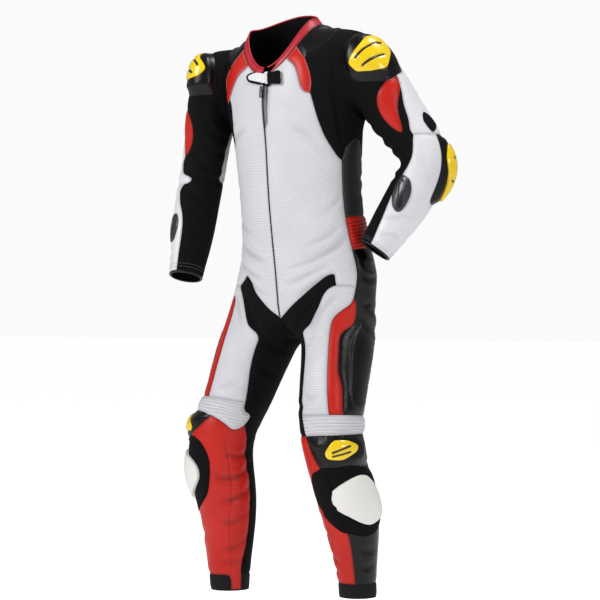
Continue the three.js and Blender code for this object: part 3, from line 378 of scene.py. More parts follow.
class Net:
    """The coarse net of the whole suit, in millimetres, with its cells painted with piece names."""

    def __init__(self) -> None:
        """Places the points, paints the cells and relaxes the whole."""
        self.points: list[np.ndarray] = []
        self.ids: dict[tuple, int] = {}
        self.armhole = self.armhole_places()
        self.paint: dict[Part, dict[tuple[int, int], list[str]]] = {part: {} for part in Part}
        self.place_trunk()
        self.place_sleeves()
        self.place_crotch()
        self.place_legs()
        self.paint_cells()
        self.cells = self.make_cells()
        self.places = np.array(self.points)
        self.relax()

    def add(self, key: tuple, point: np.ndarray) -> None:
        """Keeps a point under its key."""
        self.ids[key] = len(self.points)
        self.points.append(np.asarray(point, float))

    @staticmethod
    def armhole_places() -> list[tuple[int, int]]:
        """The edge of an armhole, from the top of the shoulder forwards and round."""
        ring = [(Row.SHOULDER, c) for c in range(Column.ARM_TOP, Column.ARM_FRONT, -1)]
        ring += [(r, Column.ARM_FRONT) for r in range(Row.SHOULDER, Row.ARMPIT)]
        ring += [(Row.ARMPIT, c) for c in range(Column.ARM_FRONT, Column.ARM_BACK)]
        ring += [(r, Column.ARM_BACK) for r in range(Row.ARMPIT, Row.SHOULDER, -1)]
        ring += [(Row.SHOULDER, c) for c in range(Column.ARM_BACK, Column.ARM_TOP, -1)]
        return [(int(r), int(c)) for r, c in ring]

    def key(self, part: Part, side: str, row: int, column: int) -> tuple:
        """The key of a point of a tube; the first ring of a sleeve or leg lies on the trunk."""
        c = column % part.value
        if part is Part.TRUNK:
            return ("trunk", row, c)
        if row > 0:
            return (part.name, side, row, c)
        if part is Part.SLEEVE:
            r, h = self.armhole[c]
            return ("trunk", r, h if side == "left" else (Part.TRUNK.value - h) % Part.TRUNK.value)
        if c <= Column.MIDDLE:
            return ("trunk", int(Row.GROIN),
                c if side == "left" else (Part.TRUNK.value - c) % Part.TRUNK.value)
        return ("crotch", c - int(Column.MIDDLE))

    def place_trunk(self) -> None:
        """The rings of the trunk, from the collar down to the groin."""
        for row, r in enumerate(TRUNK_RINGS):
            for column in range(Part.TRUNK.value):
                left = column <= Column.MIDDLE
                step = column if left else Part.TRUNK.value - column
                table = [
                    (Column.ZIP, 0),
                    (Column.FRONT, r.front),
                    (Column.YOKE, r.yoke),
                    (Column.ARM_FRONT, max(r.yoke + YOKE_WIDTH, QUARTER - r.arm)),
                    (Column.ARM_TOP, ARM_ANGLE),
                    (Column.ARM_BACK, ARM_ANGLE + r.arm),
                    (Column.BACK, BACK_ANGLE),
                    (Column.MIDDLE, 2 * QUARTER),
                ]
                degrees = rotation_between(table, step)
                angle = math.radians(degrees)
                front = degrees < QUARTER
                across = (1 if left else -1) * r.half * math.sin(angle)
                along = -(r.fore if front else r.aft) * math.cos(angle)
                fall = abs(math.cos(angle)) ** r.dip
                height = r.z_side + ((r.z_fore if front else r.z_aft) - r.z_side) * fall
                height += across * math.tan(math.radians(r.lean))
                height += r.peak * math.exp(-(((degrees - CUT_ANGLE) / CUT_SPREAD) ** 2))
                cos, sin = math.cos(math.radians(r.turn)), math.sin(math.radians(r.turn))
                place = (r.x + across * cos - along * sin, r.y + across * sin + along * cos, height)
                self.add(("trunk", row, column), place)

    def join_tube(self, part: Part, side: str, steps: int, rings: int, ring_point, out) -> None:
        """The rings of a tube and the steps that lead to its first one from the trunk.

        Args:
            part: sleeve or leg.
            side: left or right.
            steps: rings between the trunk and the first of the tube's own.
            rings: how many rings the tube has.
            ring_point: gives a point of a ring from its index and a column.
            out: the way a line leaves the trunk.
        """
        down = unit(ring_point(1, None) - ring_point(0, None))
        for column in range(part.value):
            start = self.points[self.ids[self.key(part, side, 0, column)]]
            end = ring_point(0, column)
            reach = np.linalg.norm(end - start)
            for row in range(1, steps + 1):
                t = row / (steps + 1)
                self.add(self.key(part, side, row, column), hermite(start, end, out * reach,
                    down * reach, t))
            for index in range(rings):
                self.add(self.key(part, side, steps + 1 + index, column), ring_point(index, column))

    def place_sleeves(self) -> None:
        """The rings of both sleeves."""
        for side, sign in SIDES.items():
            rings = [SleeveRing(*row) for row in SLEEVE_RINGS[side]]

            def ring_point(index: int, column: int | None) -> np.ndarray:
                """A point of a sleeve's ring, or its middle."""
                r = rings[index]
                middle = np.array([r.x, r.y, r.z], float)
                if column is None:
                    return middle
                _, face, across = tube_frame(rings, index, 0, sign, r.lift)
                angle = column / Part.SLEEVE.value * 2 * math.pi
                return (middle + face * (r.deep * math.cos(angle))
                    + across * (sign * r.wide * math.sin(angle)))

            out = np.array(SLEEVE_WAY) * (sign, 1, 1)
            self.join_tube(Part.SLEEVE, side, SLEEVE_STEPS, len(rings), ring_point, out)

    def place_crotch(self) -> None:
        """The line under the crotch, from the middle of the back to the end of the zip."""
        front = self.points[self.ids[("trunk", int(Row.GROIN), 0)]]
        back = self.points[self.ids[("trunk", int(Row.GROIN), int(Column.MIDDLE))]]
        for step in range(1, CROTCH_STEPS):
            t = step / CROTCH_STEPS
            drop = math.sin(math.pi * t) * np.array([CROTCH_SHIFT, 0, CROTCH_DROP])
            self.add(("crotch", step), back * (1 - t) + front * t - drop)

    def place_legs(self) -> None:
        """The rings of both legs; their columns turn with the seams."""
        for side, sign in SIDES.items():
            rings = [LegRing(*row) for row in LEG_RINGS[side]]

            def ring_point(index: int, column: int | None) -> np.ndarray:
                """A point of a leg's ring, or its middle."""
                r = rings[index]
                middle = np.array([r.x, r.y, r.z], float)
                if column is None:
                    return middle
                table = [(0, -r.inner), (5, r.red), (7, r.outer), *LEG_ANGLES]
                table.append((Part.LEG.value, 360 - r.inner))
                angle = math.radians(rotation_between(table, column))
                _, face, across = tube_frame(rings, index, LEG_TILT, sign, 0)
                depth = r.fore if math.cos(angle) > 0 else r.aft
                return (middle + face * (depth * math.cos(angle))
                    - across * (sign * r.wide * math.sin(angle)))

            self.join_tube(Part.LEG, side, LEG_STEPS, len(rings), ring_point,
                np.array([0, 0, -1.0]))

    def block(self, part: Part, name: str, r0: int, r1: int, c0: int, c1: int) -> None:
        """Paints the cells between two rows and two columns with a piece's name."""
        for r in range(r0, r1):
            for c in range(c0, c1):
                self.paint[part][(r, c % part.value)] = [name, "", ""]

    def slant(self, part: Part, name: str, r: int, c: int, corner: str) -> None:
        """Gives one corner of a cell to its neighbour, where a seam runs aslant."""
        self.paint[part][(r, c % part.value)][1:] = [corner, name]

    def paint_cells(self) -> None:
        """The panels of the trunk, the sleeves and the legs."""
        for part, rows in PAINT.items():
            for name, *place in rows:
                if isinstance(place[-1], str):
                    self.slant(part, name, *place)
                else:
                    self.block(part, name, *place)

    def make_cells(self) -> list[Cell]:
        """Every painted cell of both halves, its corners in order round an outward face."""
        cells = []
        rows = {Part.TRUNK: int(Row.GROIN), Part.SLEEVE: SLEEVE_END, Part.LEG: LEG_END}
        for side in SIDES:
            for part in Part:
                columns = int(Column.MIDDLE) if part is Part.TRUNK else part.value
                for row in range(rows[part]):
                    for column in range(columns):
                        if (row, column) in self.paint[part] and not self.in_armhole(part, row,
                            column):
                            cells.append(self.make_cell(part, side, row, column))
        return cells

    @staticmethod
    def in_armhole(part: Part, row: int, column: int) -> bool:
        """Whether a cell of the trunk lies where a sleeve opens."""
        high = Row.SHOULDER <= row < Row.ARMPIT
        return part is Part.TRUNK and high and Column.ARM_FRONT <= column < Column.ARM_BACK

    def make_cell(self, part: Part, side: str, row: int, column: int) -> Cell:
        """One cell, from its row and column."""
        name, corner, other = self.paint[part][(row, column)]
        turned = part is Part.TRUNK and side == "right"
        ids = []
        for r, c in ((row, column), (row + 1, column), (row + 1, column + 1), (row, column + 1)):
            ids.append(self.ids[self.key(part, side, r, -c if turned else c)])
        return Cell(part, side, row, column, tuple(ids), name, corner, other)

    def relax(self) -> None:
        """Draws each point a little towards its neighbours; the open edges stay."""
        edges = defaultdict(int)
        for cell in self.cells:
            loop = list(cell.ids)
            for a, b in zip(loop, loop[1:] + loop[:1]):
                edges[(min(a, b), max(a, b))] += 1
            if cell.corner:
                first = 1 if cell.corner in ("top fore", "bottom aft") else 0
                a, b = loop[first], loop[first + 2]
                edges[(min(a, b), max(a, b))] += 2
        pairs = np.array(list(edges))
        open_edge = np.array([count == 1 for count in edges.values()])
        fixed = np.unique(pairs[open_edge])
        ends = np.concatenate([pairs[:, 0], pairs[:, 1]])
        others = np.concatenate([pairs[:, 1], pairs[:, 0]])
        degree = np.bincount(ends, minlength=len(self.places))
        held = np.zeros(len(self.places), bool)
        held[fixed] = True
        held |= degree == 0
        for _ in range(RELAX_PASSES):
            total = np.zeros_like(self.places)
            np.add.at(total, ends, self.places[others])
            mean = total / np.maximum(degree, 1)[:, None]
            moved = self.places + (mean - self.places) * RELAX_STRENGTH
            moved[held] = self.places[held]
            self.places = moved


def catmull_rom(points: list[tuple[float, float]], steps: int, ring: bool) -> np.ndarray:
    """A smooth line through a few points.

    Args:
        points: the points, as rows and columns of a tube or as millimetres.
        steps: how many pieces each stretch is cut into.
        ring: whether the line closes on itself.

    Returns:
        The points along the line.
    """
    p = np.array(points, float)
    if ring:
        p = np.vstack([p[-1], p, p[0], p[1]])
    else:
        p = np.vstack([2 * p[0] - p[1], p, 2 * p[-1] - p[-2]])
    line = []
    for a, b, c, d in zip(p[:-3], p[1:-2], p[2:-1], p[3:]):
        for step in range(steps):
            t = step / steps
            square = (2 * a - 5 * b + 4 * c - d) * t**2
            cube = (3 * b - a - 3 * c + d) * t**3
            line.append(0.5 * (2 * b + (c - a) * t + square + cube))
    if not ring:
        line.append(p[-2])
    return np.array(line)


def inside(outline: np.ndarray, x: np.ndarray, y: np.ndarray) -> np.ndarray:
    """Which of the places x, y lie inside a closed outline."""
    result = np.zeros(x.shape, bool)
    for (x0, y0), (x1, y1) in zip(outline, np.roll(outline, -1, axis=0)):
        crosses = (y0 > y) != (y1 > y)
        rise = y1 - y0 if abs(y1 - y0) > LEAST_RISE else LEAST_RISE
        result ^= crosses & (x < x0 + (y - y0) * (x1 - x0) / rise)
    return result


def smoothstep(low: float, high: float, value: np.ndarray) -> np.ndarray:
    """A soft step from 0 at low to 1 at high."""
    t = np.clip((value - low) / (high - low), 0, 1)
    return t * t * (3 - 2 * t)


@dataclass(frozen=True)
class Puff:
    """How a kind of piece stands over its seams.

    height: millimetres that its middle stands up. reach: millimetres from the seam to that height.
    groove: how deep its edge dips into the seam.
    """

    height: float
    reach: float
    groove: float = 1.3


@dataclass(frozen=True)
class Seam:
    """A seam moved from the lines of the net: the area inside the outline takes the piece's name."""

    part: Part
    piece: str
    outline: tuple
    sides: tuple = ("left", "right")
    over: tuple = ()


@dataclass(frozen=True)
class Crease:
    """A soft trough along a line of places, or a ridge where depth is below zero."""

    part: Part
    side: str
    line: tuple
    width: float
    depth: float


@dataclass(frozen=True)
class Pad:
    """A raised area with a firm edge, such as a moulded guard under the leather."""

    part: Part
    outline: tuple
    height: float
    edge: float
    sides: tuple = ("left", "right")


class Skin:
    """The smooth skin of the suit: its points, the piece of each face, and the lie of its surface."""

    CHAIN_PASSES = 36
    FOLLOW_PASSES = 26
    FOLLOW_SHARE = 0.93
    FOLD_STRENGTH = 1.35
    FOLD_REACH = 3.2
    FOLD_SHOULDER = (0.35, 1.9, 0.8)
    FOLD_ENDS = (0.02, 0.98)
    SEAM_STEPS = 6
    LINE_STEPS = 10
    PAD_STEPS = 8
    STILL = 0.02 * MM
    GROOVE_WIDTH = 2.6 * MM
    WAVE_SCALES = (11, 27)
    WAVE_HEIGHT = 0.8
    WAVE_REACH = 14 * MM
    INNER_SHARE = 0.85
    SHADE_WIDTH = 4 * MM
    SHADE_DEPTH = 5 * MM

    def __init__(self, net: Net) -> None:
        """Smooths the net and lays out its faces and cloth coordinates."""
        self.net = net
        self.cells = net.cells
        self.index = {(c.part, c.side, c.row, c.column): i for i, c in enumerate(self.cells)}
        self.grid, self.base = self.smooth()
        self.names: list[str] = []
        self.labels = self.first_labels()
        self.rows, self.columns = self.face_places()
        self.cloth = self.cloth_places()

    def smooth(self) -> tuple[np.ndarray, np.ndarray]:
        """Subdivides the net.

        Returns:
            For each cell its grid of point numbers, and the points in metres.
        """
        mesh = bpy.data.meshes.new("net")
        loops = [list(c.ids) for c in self.cells]
        mesh.from_pydata((self.net.places * MM).tolist(), [], loops)
        mark = mesh.attributes.new("cell", "INT", "FACE")
        mark.data.foreach_set("value", np.arange(len(loops), dtype=np.int32))
        local = mesh.uv_layers.new(name="local")
        corners = np.tile(np.array([0, 0, 0, 1, 1, 1, 1, 0], np.float32), len(loops))
        local.data.foreach_set("uv", corners)
        holder = bpy.data.objects.new("net", mesh)
        bpy.context.scene.collection.objects.link(holder)
        modifier = holder.modifiers.new("smooth", "SUBSURF")
        modifier.levels = SUBDIVISIONS
        modifier.uv_smooth = "NONE"
        graph = bpy.context.evaluated_depsgraph_get()
        fine = bpy.data.meshes.new_from_object(holder.evaluated_get(graph))
        count = len(fine.polygons)
        places = np.zeros(len(fine.vertices) * 3, np.float32)
        fine.vertices.foreach_get("co", places)
        point = np.zeros(count * 4, np.int32)
        fine.loops.foreach_get("vertex_index", point)
        cell = np.zeros(count, np.int32)
        fine.attributes["cell"].data.foreach_get("value", cell)
        uv = np.zeros(count * 8, np.float32)
        fine.uv_layers["local"].data.foreach_get("uv", uv)
        across, down = np.rint(uv.reshape(-1, 2) * CELL).astype(int).T
        grid = np.full((len(self.cells), CELL + 1, CELL + 1), -1)
        grid[np.repeat(cell, 4), down, across] = point
        bpy.data.objects.remove(holder)
        bpy.data.meshes.remove(mesh)
        bpy.data.meshes.remove(fine)
        return grid, places.reshape(-1, 3).astype(float)

    def name_index(self, name: str) -> int:
        """The number of a piece's name, made if it is new."""
        if name not in self.names:
            self.names.append(name)
        return self.names.index(name)

    @staticmethod
    def node(name: str, side: str) -> str:
        """The node of a piece on one side; some pieces run across both."""
        return name if name in ("collar", "back_centre", "lumbar_ribs") else f"{name}_{side}"

    def first_labels(self) -> np.ndarray:
        """Which piece each face belongs to, by the cells and their slanted corners."""
        labels = np.zeros((len(self.cells), CELL, CELL), int)
        middle = (np.arange(CELL) + 0.5) / CELL
        down, across = np.meshgrid(middle, middle, indexing="ij")
        areas = {
            "top fore": down + across < 1,
            "bottom fore": (1 - down) + across < 1,
            "bottom aft": down + across > 1,
            "top aft": down + (1 - across) < 1,
        }
        for i, cell in enumerate(self.cells):
            labels[i] = self.name_index(self.node(cell.name, cell.side))
            if cell.corner:
                labels[i][areas[cell.corner]] = self.name_index(self.node(cell.other, cell.side))
        return labels

    def face_places(self) -> tuple[np.ndarray, np.ndarray]:
        """The row and column of the middle of each face."""
        middle = (np.arange(CELL) + 0.5) / CELL
        down, across = np.meshgrid(middle, middle, indexing="ij")
        rows = np.array([c.row for c in self.cells])[:, None, None] + down
        columns = np.array([c.column for c in self.cells])[:, None, None] + across
        return rows, columns

    def cloth_places(self) -> np.ndarray:
        """For each cell's grid, metres across and down the cloth as it was cut."""
        starts = {Part.TRUNK: (0, 17, 0), Part.SLEEVE: (-9, 9, 0), Part.LEG: (-9, 14, 3)}
        ends = {Part.TRUNK: int(Row.GROIN), Part.SLEEVE: SLEEVE_END, Part.LEG: LEG_END}
        corner = np.zeros((len(self.cells), 2, 2, 2))
        for part, (first, last, zero) in starts.items():
            for side in SIDES:
                turn = -1 if part is Part.TRUNK and side == "right" else 1
                numbers = [
                    [
                        self.net.ids[self.net.key(part, side, r, turn * c)]
                        for c in range(first, last + 1)
                    ]
                    for r in range(ends[part] + 1)
                ]
                lattice = self.net.places[np.array(numbers)]
                wide = np.linalg.norm(np.diff(lattice, axis=1), axis=2)
                across = np.concatenate([np.zeros((len(wide), 1)), np.cumsum(wide, axis=1)], axis=1)
                across -= across[:, zero - first][:, None]
                high = np.linalg.norm(np.diff(lattice, axis=0), axis=2).mean(axis=1)
                down = np.concatenate([[0], np.cumsum(high)])
                for i, cell in enumerate(self.cells):
                    if cell.part is part and cell.side == side:
                        c = cell.column - first - (part.value if cell.column >= last else 0)
                        for y in (0, 1):
                            for x in (0, 1):
                                corner[i, y, x] = (
                                    turn * across[cell.row + y, c + x],
                                    down[cell.row + y],
                                )
        t = np.arange(CELL + 1) / CELL
        low, high = (1 - t)[:, None], t[:, None]
        near, far = (1 - t)[None, None, :, None], t[None, None, :, None]
        top, bottom = (
            corner[:, end, None, 0, None] * near + corner[:, end, None, 1, None] * far
            for end in (0, 1)
        )
        return (top * low[None, :, :, None] + bottom * high[None, :, :, None]) * MM

    def paint(self, seam: Seam) -> None:
        """Gives the faces inside a seam's outline to its piece."""
        outline = catmull_rom(list(seam.outline), self.SEAM_STEPS, ring=True)
        for side in seam.sides:
            for i, cell in enumerate(self.cells):
                if cell.part is not seam.part or cell.side != side:
                    continue
                wrap = 0 if seam.part is Part.TRUNK else seam.part.value
                inner = inside(outline, self.rows[i], self.columns[i])
                if wrap:
                    inner |= inside(outline, self.rows[i], self.columns[i] - wrap)
                if seam.over:
                    known = [self.name_index(self.node(name, side)) for name in seam.over]
                    inner &= np.isin(self.labels[i], known)
                self.labels[i][inner] = self.name_index(self.node(seam.piece, side))

    def quads(self) -> tuple[np.ndarray, np.ndarray, np.ndarray]:
        """Every face as four points in order round its outside, with its piece and its cloth places."""
        g, t = self.grid, self.cloth
        faces = np.stack([g[:, :-1, :-1], g[:, 1:, :-1], g[:, 1:, 1:], g[:, :-1, 1:]], axis=-1)
        places = np.stack([t[:, :-1, :-1], t[:, 1:, :-1], t[:, 1:, 1:], t[:, :-1, 1:]], axis=-2)
        turned = np.array([(c.part is Part.SLEEVE) != (c.side == "right") for c in self.cells])
        faces[turned] = faces[turned][..., ::-1]
        places[turned] = places[turned][..., ::-1, :]
        return faces.reshape(-1, 4), self.labels.reshape(-1), places.reshape(-1, 4, 2)

    def settle_seams(self) -> None:
        """Finds the seams, smooths their stepped lines along the skin, and measures from them."""
        self.faces, self.face_label, self.face_cloth = self.quads()
        faces, label = self.faces, self.face_label
        sides = np.concatenate([faces[:, [k, (k + 1) % 4]] for k in range(4)])
        owner = np.tile(label, 4)
        low, high = np.sort(sides, axis=1).T
        code = low.astype(np.int64) * len(self.base) + high
        order = np.argsort(code, kind="stable")
        code, owner, low, high = code[order], owner[order], low[order], high[order]
        first = np.flatnonzero(np.concatenate([[True], code[1:] != code[:-1]]))
        count = np.diff(np.append(first, len(code)))
        second = np.minimum(first + 1, len(code) - 1)
        self.edges = np.stack([low[first], high[first]], axis=1)
        self.open = count == 1
        differs = (count == 2) & (owner[first] != owner[second])
        self.edge_labels = np.stack([owner[first], np.where(self.open, -1, owner[second])], axis=1)
        self.seam = differs | self.open
        degree = np.bincount(self.edges[self.seam].ravel(), minlength=len(self.base))
        open_points = np.unique(self.edges[self.open])
        moving = degree == 2
        moving[open_points] = False
        neighbours = defaultdict(list)
        for a, b in self.edges[self.seam]:
            neighbours[a].append(b)
            neighbours[b].append(a)
        chain = np.flatnonzero(moving)
        ends = np.array([neighbours[i] for i in chain])
        held = degree > 0
        places = self.base.copy()
        for _ in range(self.CHAIN_PASSES):
            places[chain] += 0.5 * (places[ends].mean(axis=1) - places[chain])
        shift = places - self.base
        a, b = self.edges.T
        near = np.bincount(np.concatenate([a, b]), minlength=len(self.base))[:, None]
        free = ~held
        for _ in range(self.FOLLOW_PASSES):
            total = self.gather(shift, a, b)
            shift[free] = (total / np.maximum(near, 1))[free] * self.FOLLOW_SHARE
        tree = BVHTree.FromPolygons(self.base.tolist(), faces.tolist())
        for i in np.flatnonzero(np.linalg.norm(shift, axis=1) > self.STILL):
            hit = tree.find_nearest(self.base[i] + shift[i])
            places[i] = hit[0]
        still = np.linalg.norm(shift, axis=1) <= self.STILL
        places[still] = self.base[still]
        self.base = places
        self.normal = self.point_normals(self.base)
        self.seam_points = np.unique(self.edges[self.seam])
        tree = kdtree.KDTree(len(self.seam_points))
        for i in self.seam_points:
            tree.insert(self.base[i], int(i))
        tree.balance()
        self.from_seam = np.array([tree.find(p)[2] for p in self.base])

    @staticmethod
    def gather(values: np.ndarray, a: np.ndarray, b: np.ndarray) -> np.ndarray:
        """For each point the sum of its neighbours' values, over the edges a to b."""
        total = np.empty_like(values)
        for axis in range(values.shape[1]):
            ahead = np.bincount(a, values[b, axis], len(values))
            total[:, axis] = ahead + np.bincount(b, values[a, axis], len(values))
        return total

    def point_normals(self, places: np.ndarray) -> np.ndarray:
        """The way out of the skin at each point."""
        p = places[self.faces]
        face = np.cross(p[:, 2] - p[:, 0], p[:, 3] - p[:, 1])
        total = np.zeros_like(places)
        for axis in range(3):
            for corner in range(4):
                total[:, axis] += np.bincount(self.faces[:, corner], face[:, axis], len(places))
        return unit(total)

    def locate(self, part: Part, side: str, row: float, column: float) -> tuple[int, float, float]:
        """The cell of a place, and how far down and across it the place lies."""
        if part is Part.TRUNK and column < 0:
            side = "right" if side == "left" else "left"
            column = -column
        last = {Part.TRUNK: int(Row.GROIN), Part.SLEEVE: SLEEVE_END, Part.LEG: LEG_END}[part]
        r = min(max(math.floor(row), 0), last - 1)
        c = math.floor(column)
        if part is Part.TRUNK:
            c = min(c, int(Column.MIDDLE) - 1)
        cell = self.index[(part, side, r, c if part is Part.TRUNK else c % part.value)]
        return cell, min(max(row - r, 0), 1), min(max(column - c, 0), 1)

    def at(self, values: np.ndarray, part: Part, side: str, row: float,
            column: float) -> np.ndarray:
        """A value of the skin at a place, from the values at its points."""
        cell, down, across = self.locate(part, side, row, column)
        y, x = down * CELL, across * CELL
        i, j = min(int(y), CELL - 1), min(int(x), CELL - 1)
        fy, fx = y - i, x - j
        g = self.grid[cell]
        top = values[g[i, j]] * (1 - fx) + values[g[i, j + 1]] * fx
        bottom = values[g[i + 1, j]] * (1 - fx) + values[g[i + 1, j + 1]] * fx
        return top * (1 - fy) + bottom * fy

    def line(self, part: Part, side: str, places: tuple, ring: bool = False) -> np.ndarray:
        """A smooth line over the skin through a few places."""
        smooth = catmull_rom(list(places), self.LINE_STEPS, ring)
        return np.array([self.at(self.base, part, side, r, c) for r, c in smooth])

    def relief(self, puffs: dict[str, Puff], creases: list[Crease], pads: list[Pad]) -> None:
        """Works out how high the outside and the inside of the wall stand over the skin, and the
        painted shade beside its seams and in its creases.

        Args:
            puffs: for each piece's name without its side, how it stands over its seams.
            creases: the folds.
            pads: the raised areas.
        """
        label = np.zeros(len(self.base), int)
        label[self.faces.ravel()] = np.repeat(self.face_label, 4)
        plain = Puff(1.0, 12)
        kinds = [puffs.get(name.rsplit("_", 1)[0], puffs.get(name, plain)) for name in self.names]
        height = np.array([k.height for k in kinds])[label] * MM
        reach = np.array([k.reach for k in kinds])[label] * MM
        groove = np.array([k.groove for k in kinds])[label] * MM
        d = self.from_seam
        fold = self.folds(creases)
        dip = groove * np.exp(-((d / self.GROOVE_WIDTH) ** 2))
        up = WALL + height * smoothstep(0, 1, d / reach) - dip
        broad, fine = self.WAVE_SCALES
        waves = np.array([
            noise.noise(Vector(p) * broad) + 0.5 * noise.noise(Vector(p) * fine)
            for p in self.base
        ])
        up += waves * self.WAVE_HEIGHT * MM * smoothstep(0, 1, d / self.WAVE_REACH)
        for pad in pads:
            up += self.pad_height(pad)
        self.up = up + fold
        self.down = fold * self.INNER_SHARE
        self.outer = self.base + self.normal * self.up[:, None]
        self.inner = self.base + self.normal * self.down[:, None]
        self.outer_normal = self.point_normals(self.outer)
        # Painted shade: darkest at the seams and in the troughs of the creases; the panels carry it as
        # the seam_shade attribute, which darkens their colour.
        beside = np.exp(-((d / self.SHADE_WIDTH) ** 2))
        self.shade = np.clip(beside + np.maximum(0, -fold / self.SHADE_DEPTH), 0, 1)

    def folds(self, creases: list[Crease]) -> np.ndarray:
        """How far the creases move each point, in metres."""
        fold = np.zeros(len(self.base))
        for crease in creases:
            line = self.line(crease.part, crease.side, crease.line)
            reach = self.FOLD_REACH * crease.width * MM
            low, high = line.min(axis=0) - reach, line.max(axis=0) + reach
            near = np.flatnonzero(np.all((self.base > low) & (self.base < high), axis=1))
            best = np.full(len(near), np.inf)
            along = np.zeros(len(near))
            total = len(line) - 1
            for k, (a, b) in enumerate(zip(line[:-1], line[1:])):
                step = b - a
                t = np.clip((self.base[near] - a) @ step / max(step @ step, TINY), 0, 1)
                gap = np.linalg.norm(self.base[near] - a - t[:, None] * step, axis=1)
                closer = gap < best
                best[closer] = gap[closer]
                along[closer] = ((k + t) / total)[closer]
            t = best / (crease.width * MM)
            taper = np.sqrt(np.clip(np.sin(math.pi * np.clip(along, *self.FOLD_ENDS)), 0, 1))
            rise, place, width = self.FOLD_SHOULDER
            profile = -np.exp(-(t**2)) + rise * np.exp(-(((t - place) / width) ** 2))
            fold[near] += crease.depth * self.FOLD_STRENGTH * MM * taper * profile
        return fold

    def pad_height(self, pad: Pad) -> np.ndarray:
        """How far a pad raises each point."""
        raised = np.zeros(len(self.base))
        outline = catmull_rom(list(pad.outline), self.PAD_STEPS, ring=True)
        for side in pad.sides:
            points = np.zeros(len(self.base), bool)
            for i, cell in enumerate(self.cells):
                if cell.part is not pad.part or cell.side != side:
                    continue
                t = np.arange(CELL + 1) / CELL
                down, across = np.meshgrid(cell.row + t, cell.column + t, indexing="ij")
                inner = inside(outline, down, across)
                if pad.part is not Part.TRUNK:
                    inner |= inside(outline, down, across - pad.part.value)
                points[self.grid[i][inner]] = True
            line = np.array([self.at(self.base, pad.part, side, r, c) for r, c in outline])
            chosen = np.flatnonzero(points)
            tree = kdtree.KDTree(len(line))
            for k, p in enumerate(line):
                tree.insert(p, k)
            tree.balance()
            gap = np.array([tree.find(self.base[i])[2] for i in chosen])
            raised[chosen] = pad.height * MM * smoothstep(0, 1, gap / (pad.edge * MM))
        return raised


def srgb(red: int, green: int, blue: int) -> tuple[float, float, float, float]:
    """A colour given from 0 to 255, as Blender's linear values."""
    parts = []
    for value in (red, green, blue):
        share = value / 255
        parts.append(share / 12.92 if share <= 0.04045 else ((share + 0.055) / 1.055) ** 2.4)
    return (*parts, 1.0)


class Graph:
    """A short way to place and join shader nodes."""

    def __init__(self, tree: bpy.types.NodeTree) -> None:
        """Keeps the tree."""
        self.tree = tree

    def node(self, kind: str, **settings) -> bpy.types.Node:
        """Adds a node and sets its properties."""
        made = self.tree.nodes.new(kind)
        for name, value in settings.items():
            setattr(made, name, value)
        return made

    def join(self, source, target) -> None:
        """Feeds a socket, or sets it where the source is a plain value."""
        if isinstance(source, bpy.types.NodeSocket):
            self.tree.links.new(source, target)
        else:
            target.default_value = source

    def math(self, operation: str, *values) -> bpy.types.NodeSocket:
        """The result of a sum on sockets or numbers."""
        made = self.node("ShaderNodeMath", operation=operation)
        for value, target in zip(values, made.inputs):
            self.join(value, target)
        return made.outputs[0]

    def ramp(self, value, low: float, high: float, to_low: float,
            to_high: float) -> bpy.types.NodeSocket:
        """A soft step of a value between two limits."""
        made = self.node("ShaderNodeMapRange", interpolation_type="SMOOTHSTEP")
        for target, source in zip(made.inputs, (value, low, high, to_low, to_high)):
            self.join(source, target)
        return made.outputs[0]

    def mix(self, share, first, second) -> bpy.types.NodeSocket:
        """A colour between two, by a mask."""
        made = self.node("ShaderNodeMix", data_type="RGBA")
        self.join(share, made.inputs[0])
        self.join(first, made.inputs[6])
        self.join(second, made.inputs[7])
        return made.outputs[2]


def new_group(name: str, inputs: dict[str, float],
        outputs: tuple) -> tuple[bpy.types.NodeTree, Graph, dict, dict]:
    """An empty node group with named sockets.

    Args:
        name: the group's name.
        inputs: each input's name and its usual value.
        outputs: the names of the outputs.

    Returns:
        The tree, its graph, its inputs by name, and its outputs by name.
    """
    tree = bpy.data.node_groups.new(name, "ShaderNodeTree")
    for label, value in inputs.items():
        tree.interface.new_socket(label, in_out="INPUT",
            socket_type="NodeSocketFloat").default_value = value
    for label in outputs:
        tree.interface.new_socket(label, in_out="OUTPUT", socket_type="NodeSocketFloat")
    graph = Graph(tree)
    start = graph.node("NodeGroupInput")
    end = graph.node("NodeGroupOutput")
    return (
        tree,
        graph,
        {s.name: s for s in start.outputs if s.name},
        {s.name: s for s in end.inputs if s.name},
    )


def perforation_group() -> bpy.types.NodeTree:
    """Rows of small punched holes, staggered, over the cut of the cloth."""
    tree, g, given, result = new_group("punched holes", {"Pitch": 0.004, "Radius": 0.2},
        ("Hole", "Height"))
    cloth = g.node("ShaderNodeUVMap", uv_map="cloth")
    place = g.node("ShaderNodeSeparateXYZ")
    g.join(cloth.outputs[0], place.inputs[0])
    row = g.math("DIVIDE", place.outputs[1], g.math("MULTIPLY", given["Pitch"], HOLE_ROWS))
    along = g.math("DIVIDE", place.outputs[0], given["Pitch"])
    odd = g.math("MULTIPLY", g.math("FLOORED_MODULO", g.math("FLOOR", row), 2.0), 0.5)
    x = g.math("SUBTRACT", g.math("FRACT", g.math("ADD", along, odd)), 0.5)
    y = g.math("MULTIPLY", g.math("SUBTRACT", g.math("FRACT", row), 0.5), HOLE_ROWS)
    far = g.math("SQRT", g.math("ADD", g.math("MULTIPLY", x, x), g.math("MULTIPLY", y, y)))
    hole = g.ramp(far, g.math("MULTIPLY", given["Radius"], 0.7),
        g.math("MULTIPLY", given["Radius"], 1.3), 1.0, 0.0)
    g.join(hole, result["Hole"])
    g.join(g.math("SUBTRACT", 1.0, hole), result["Height"])
    return tree


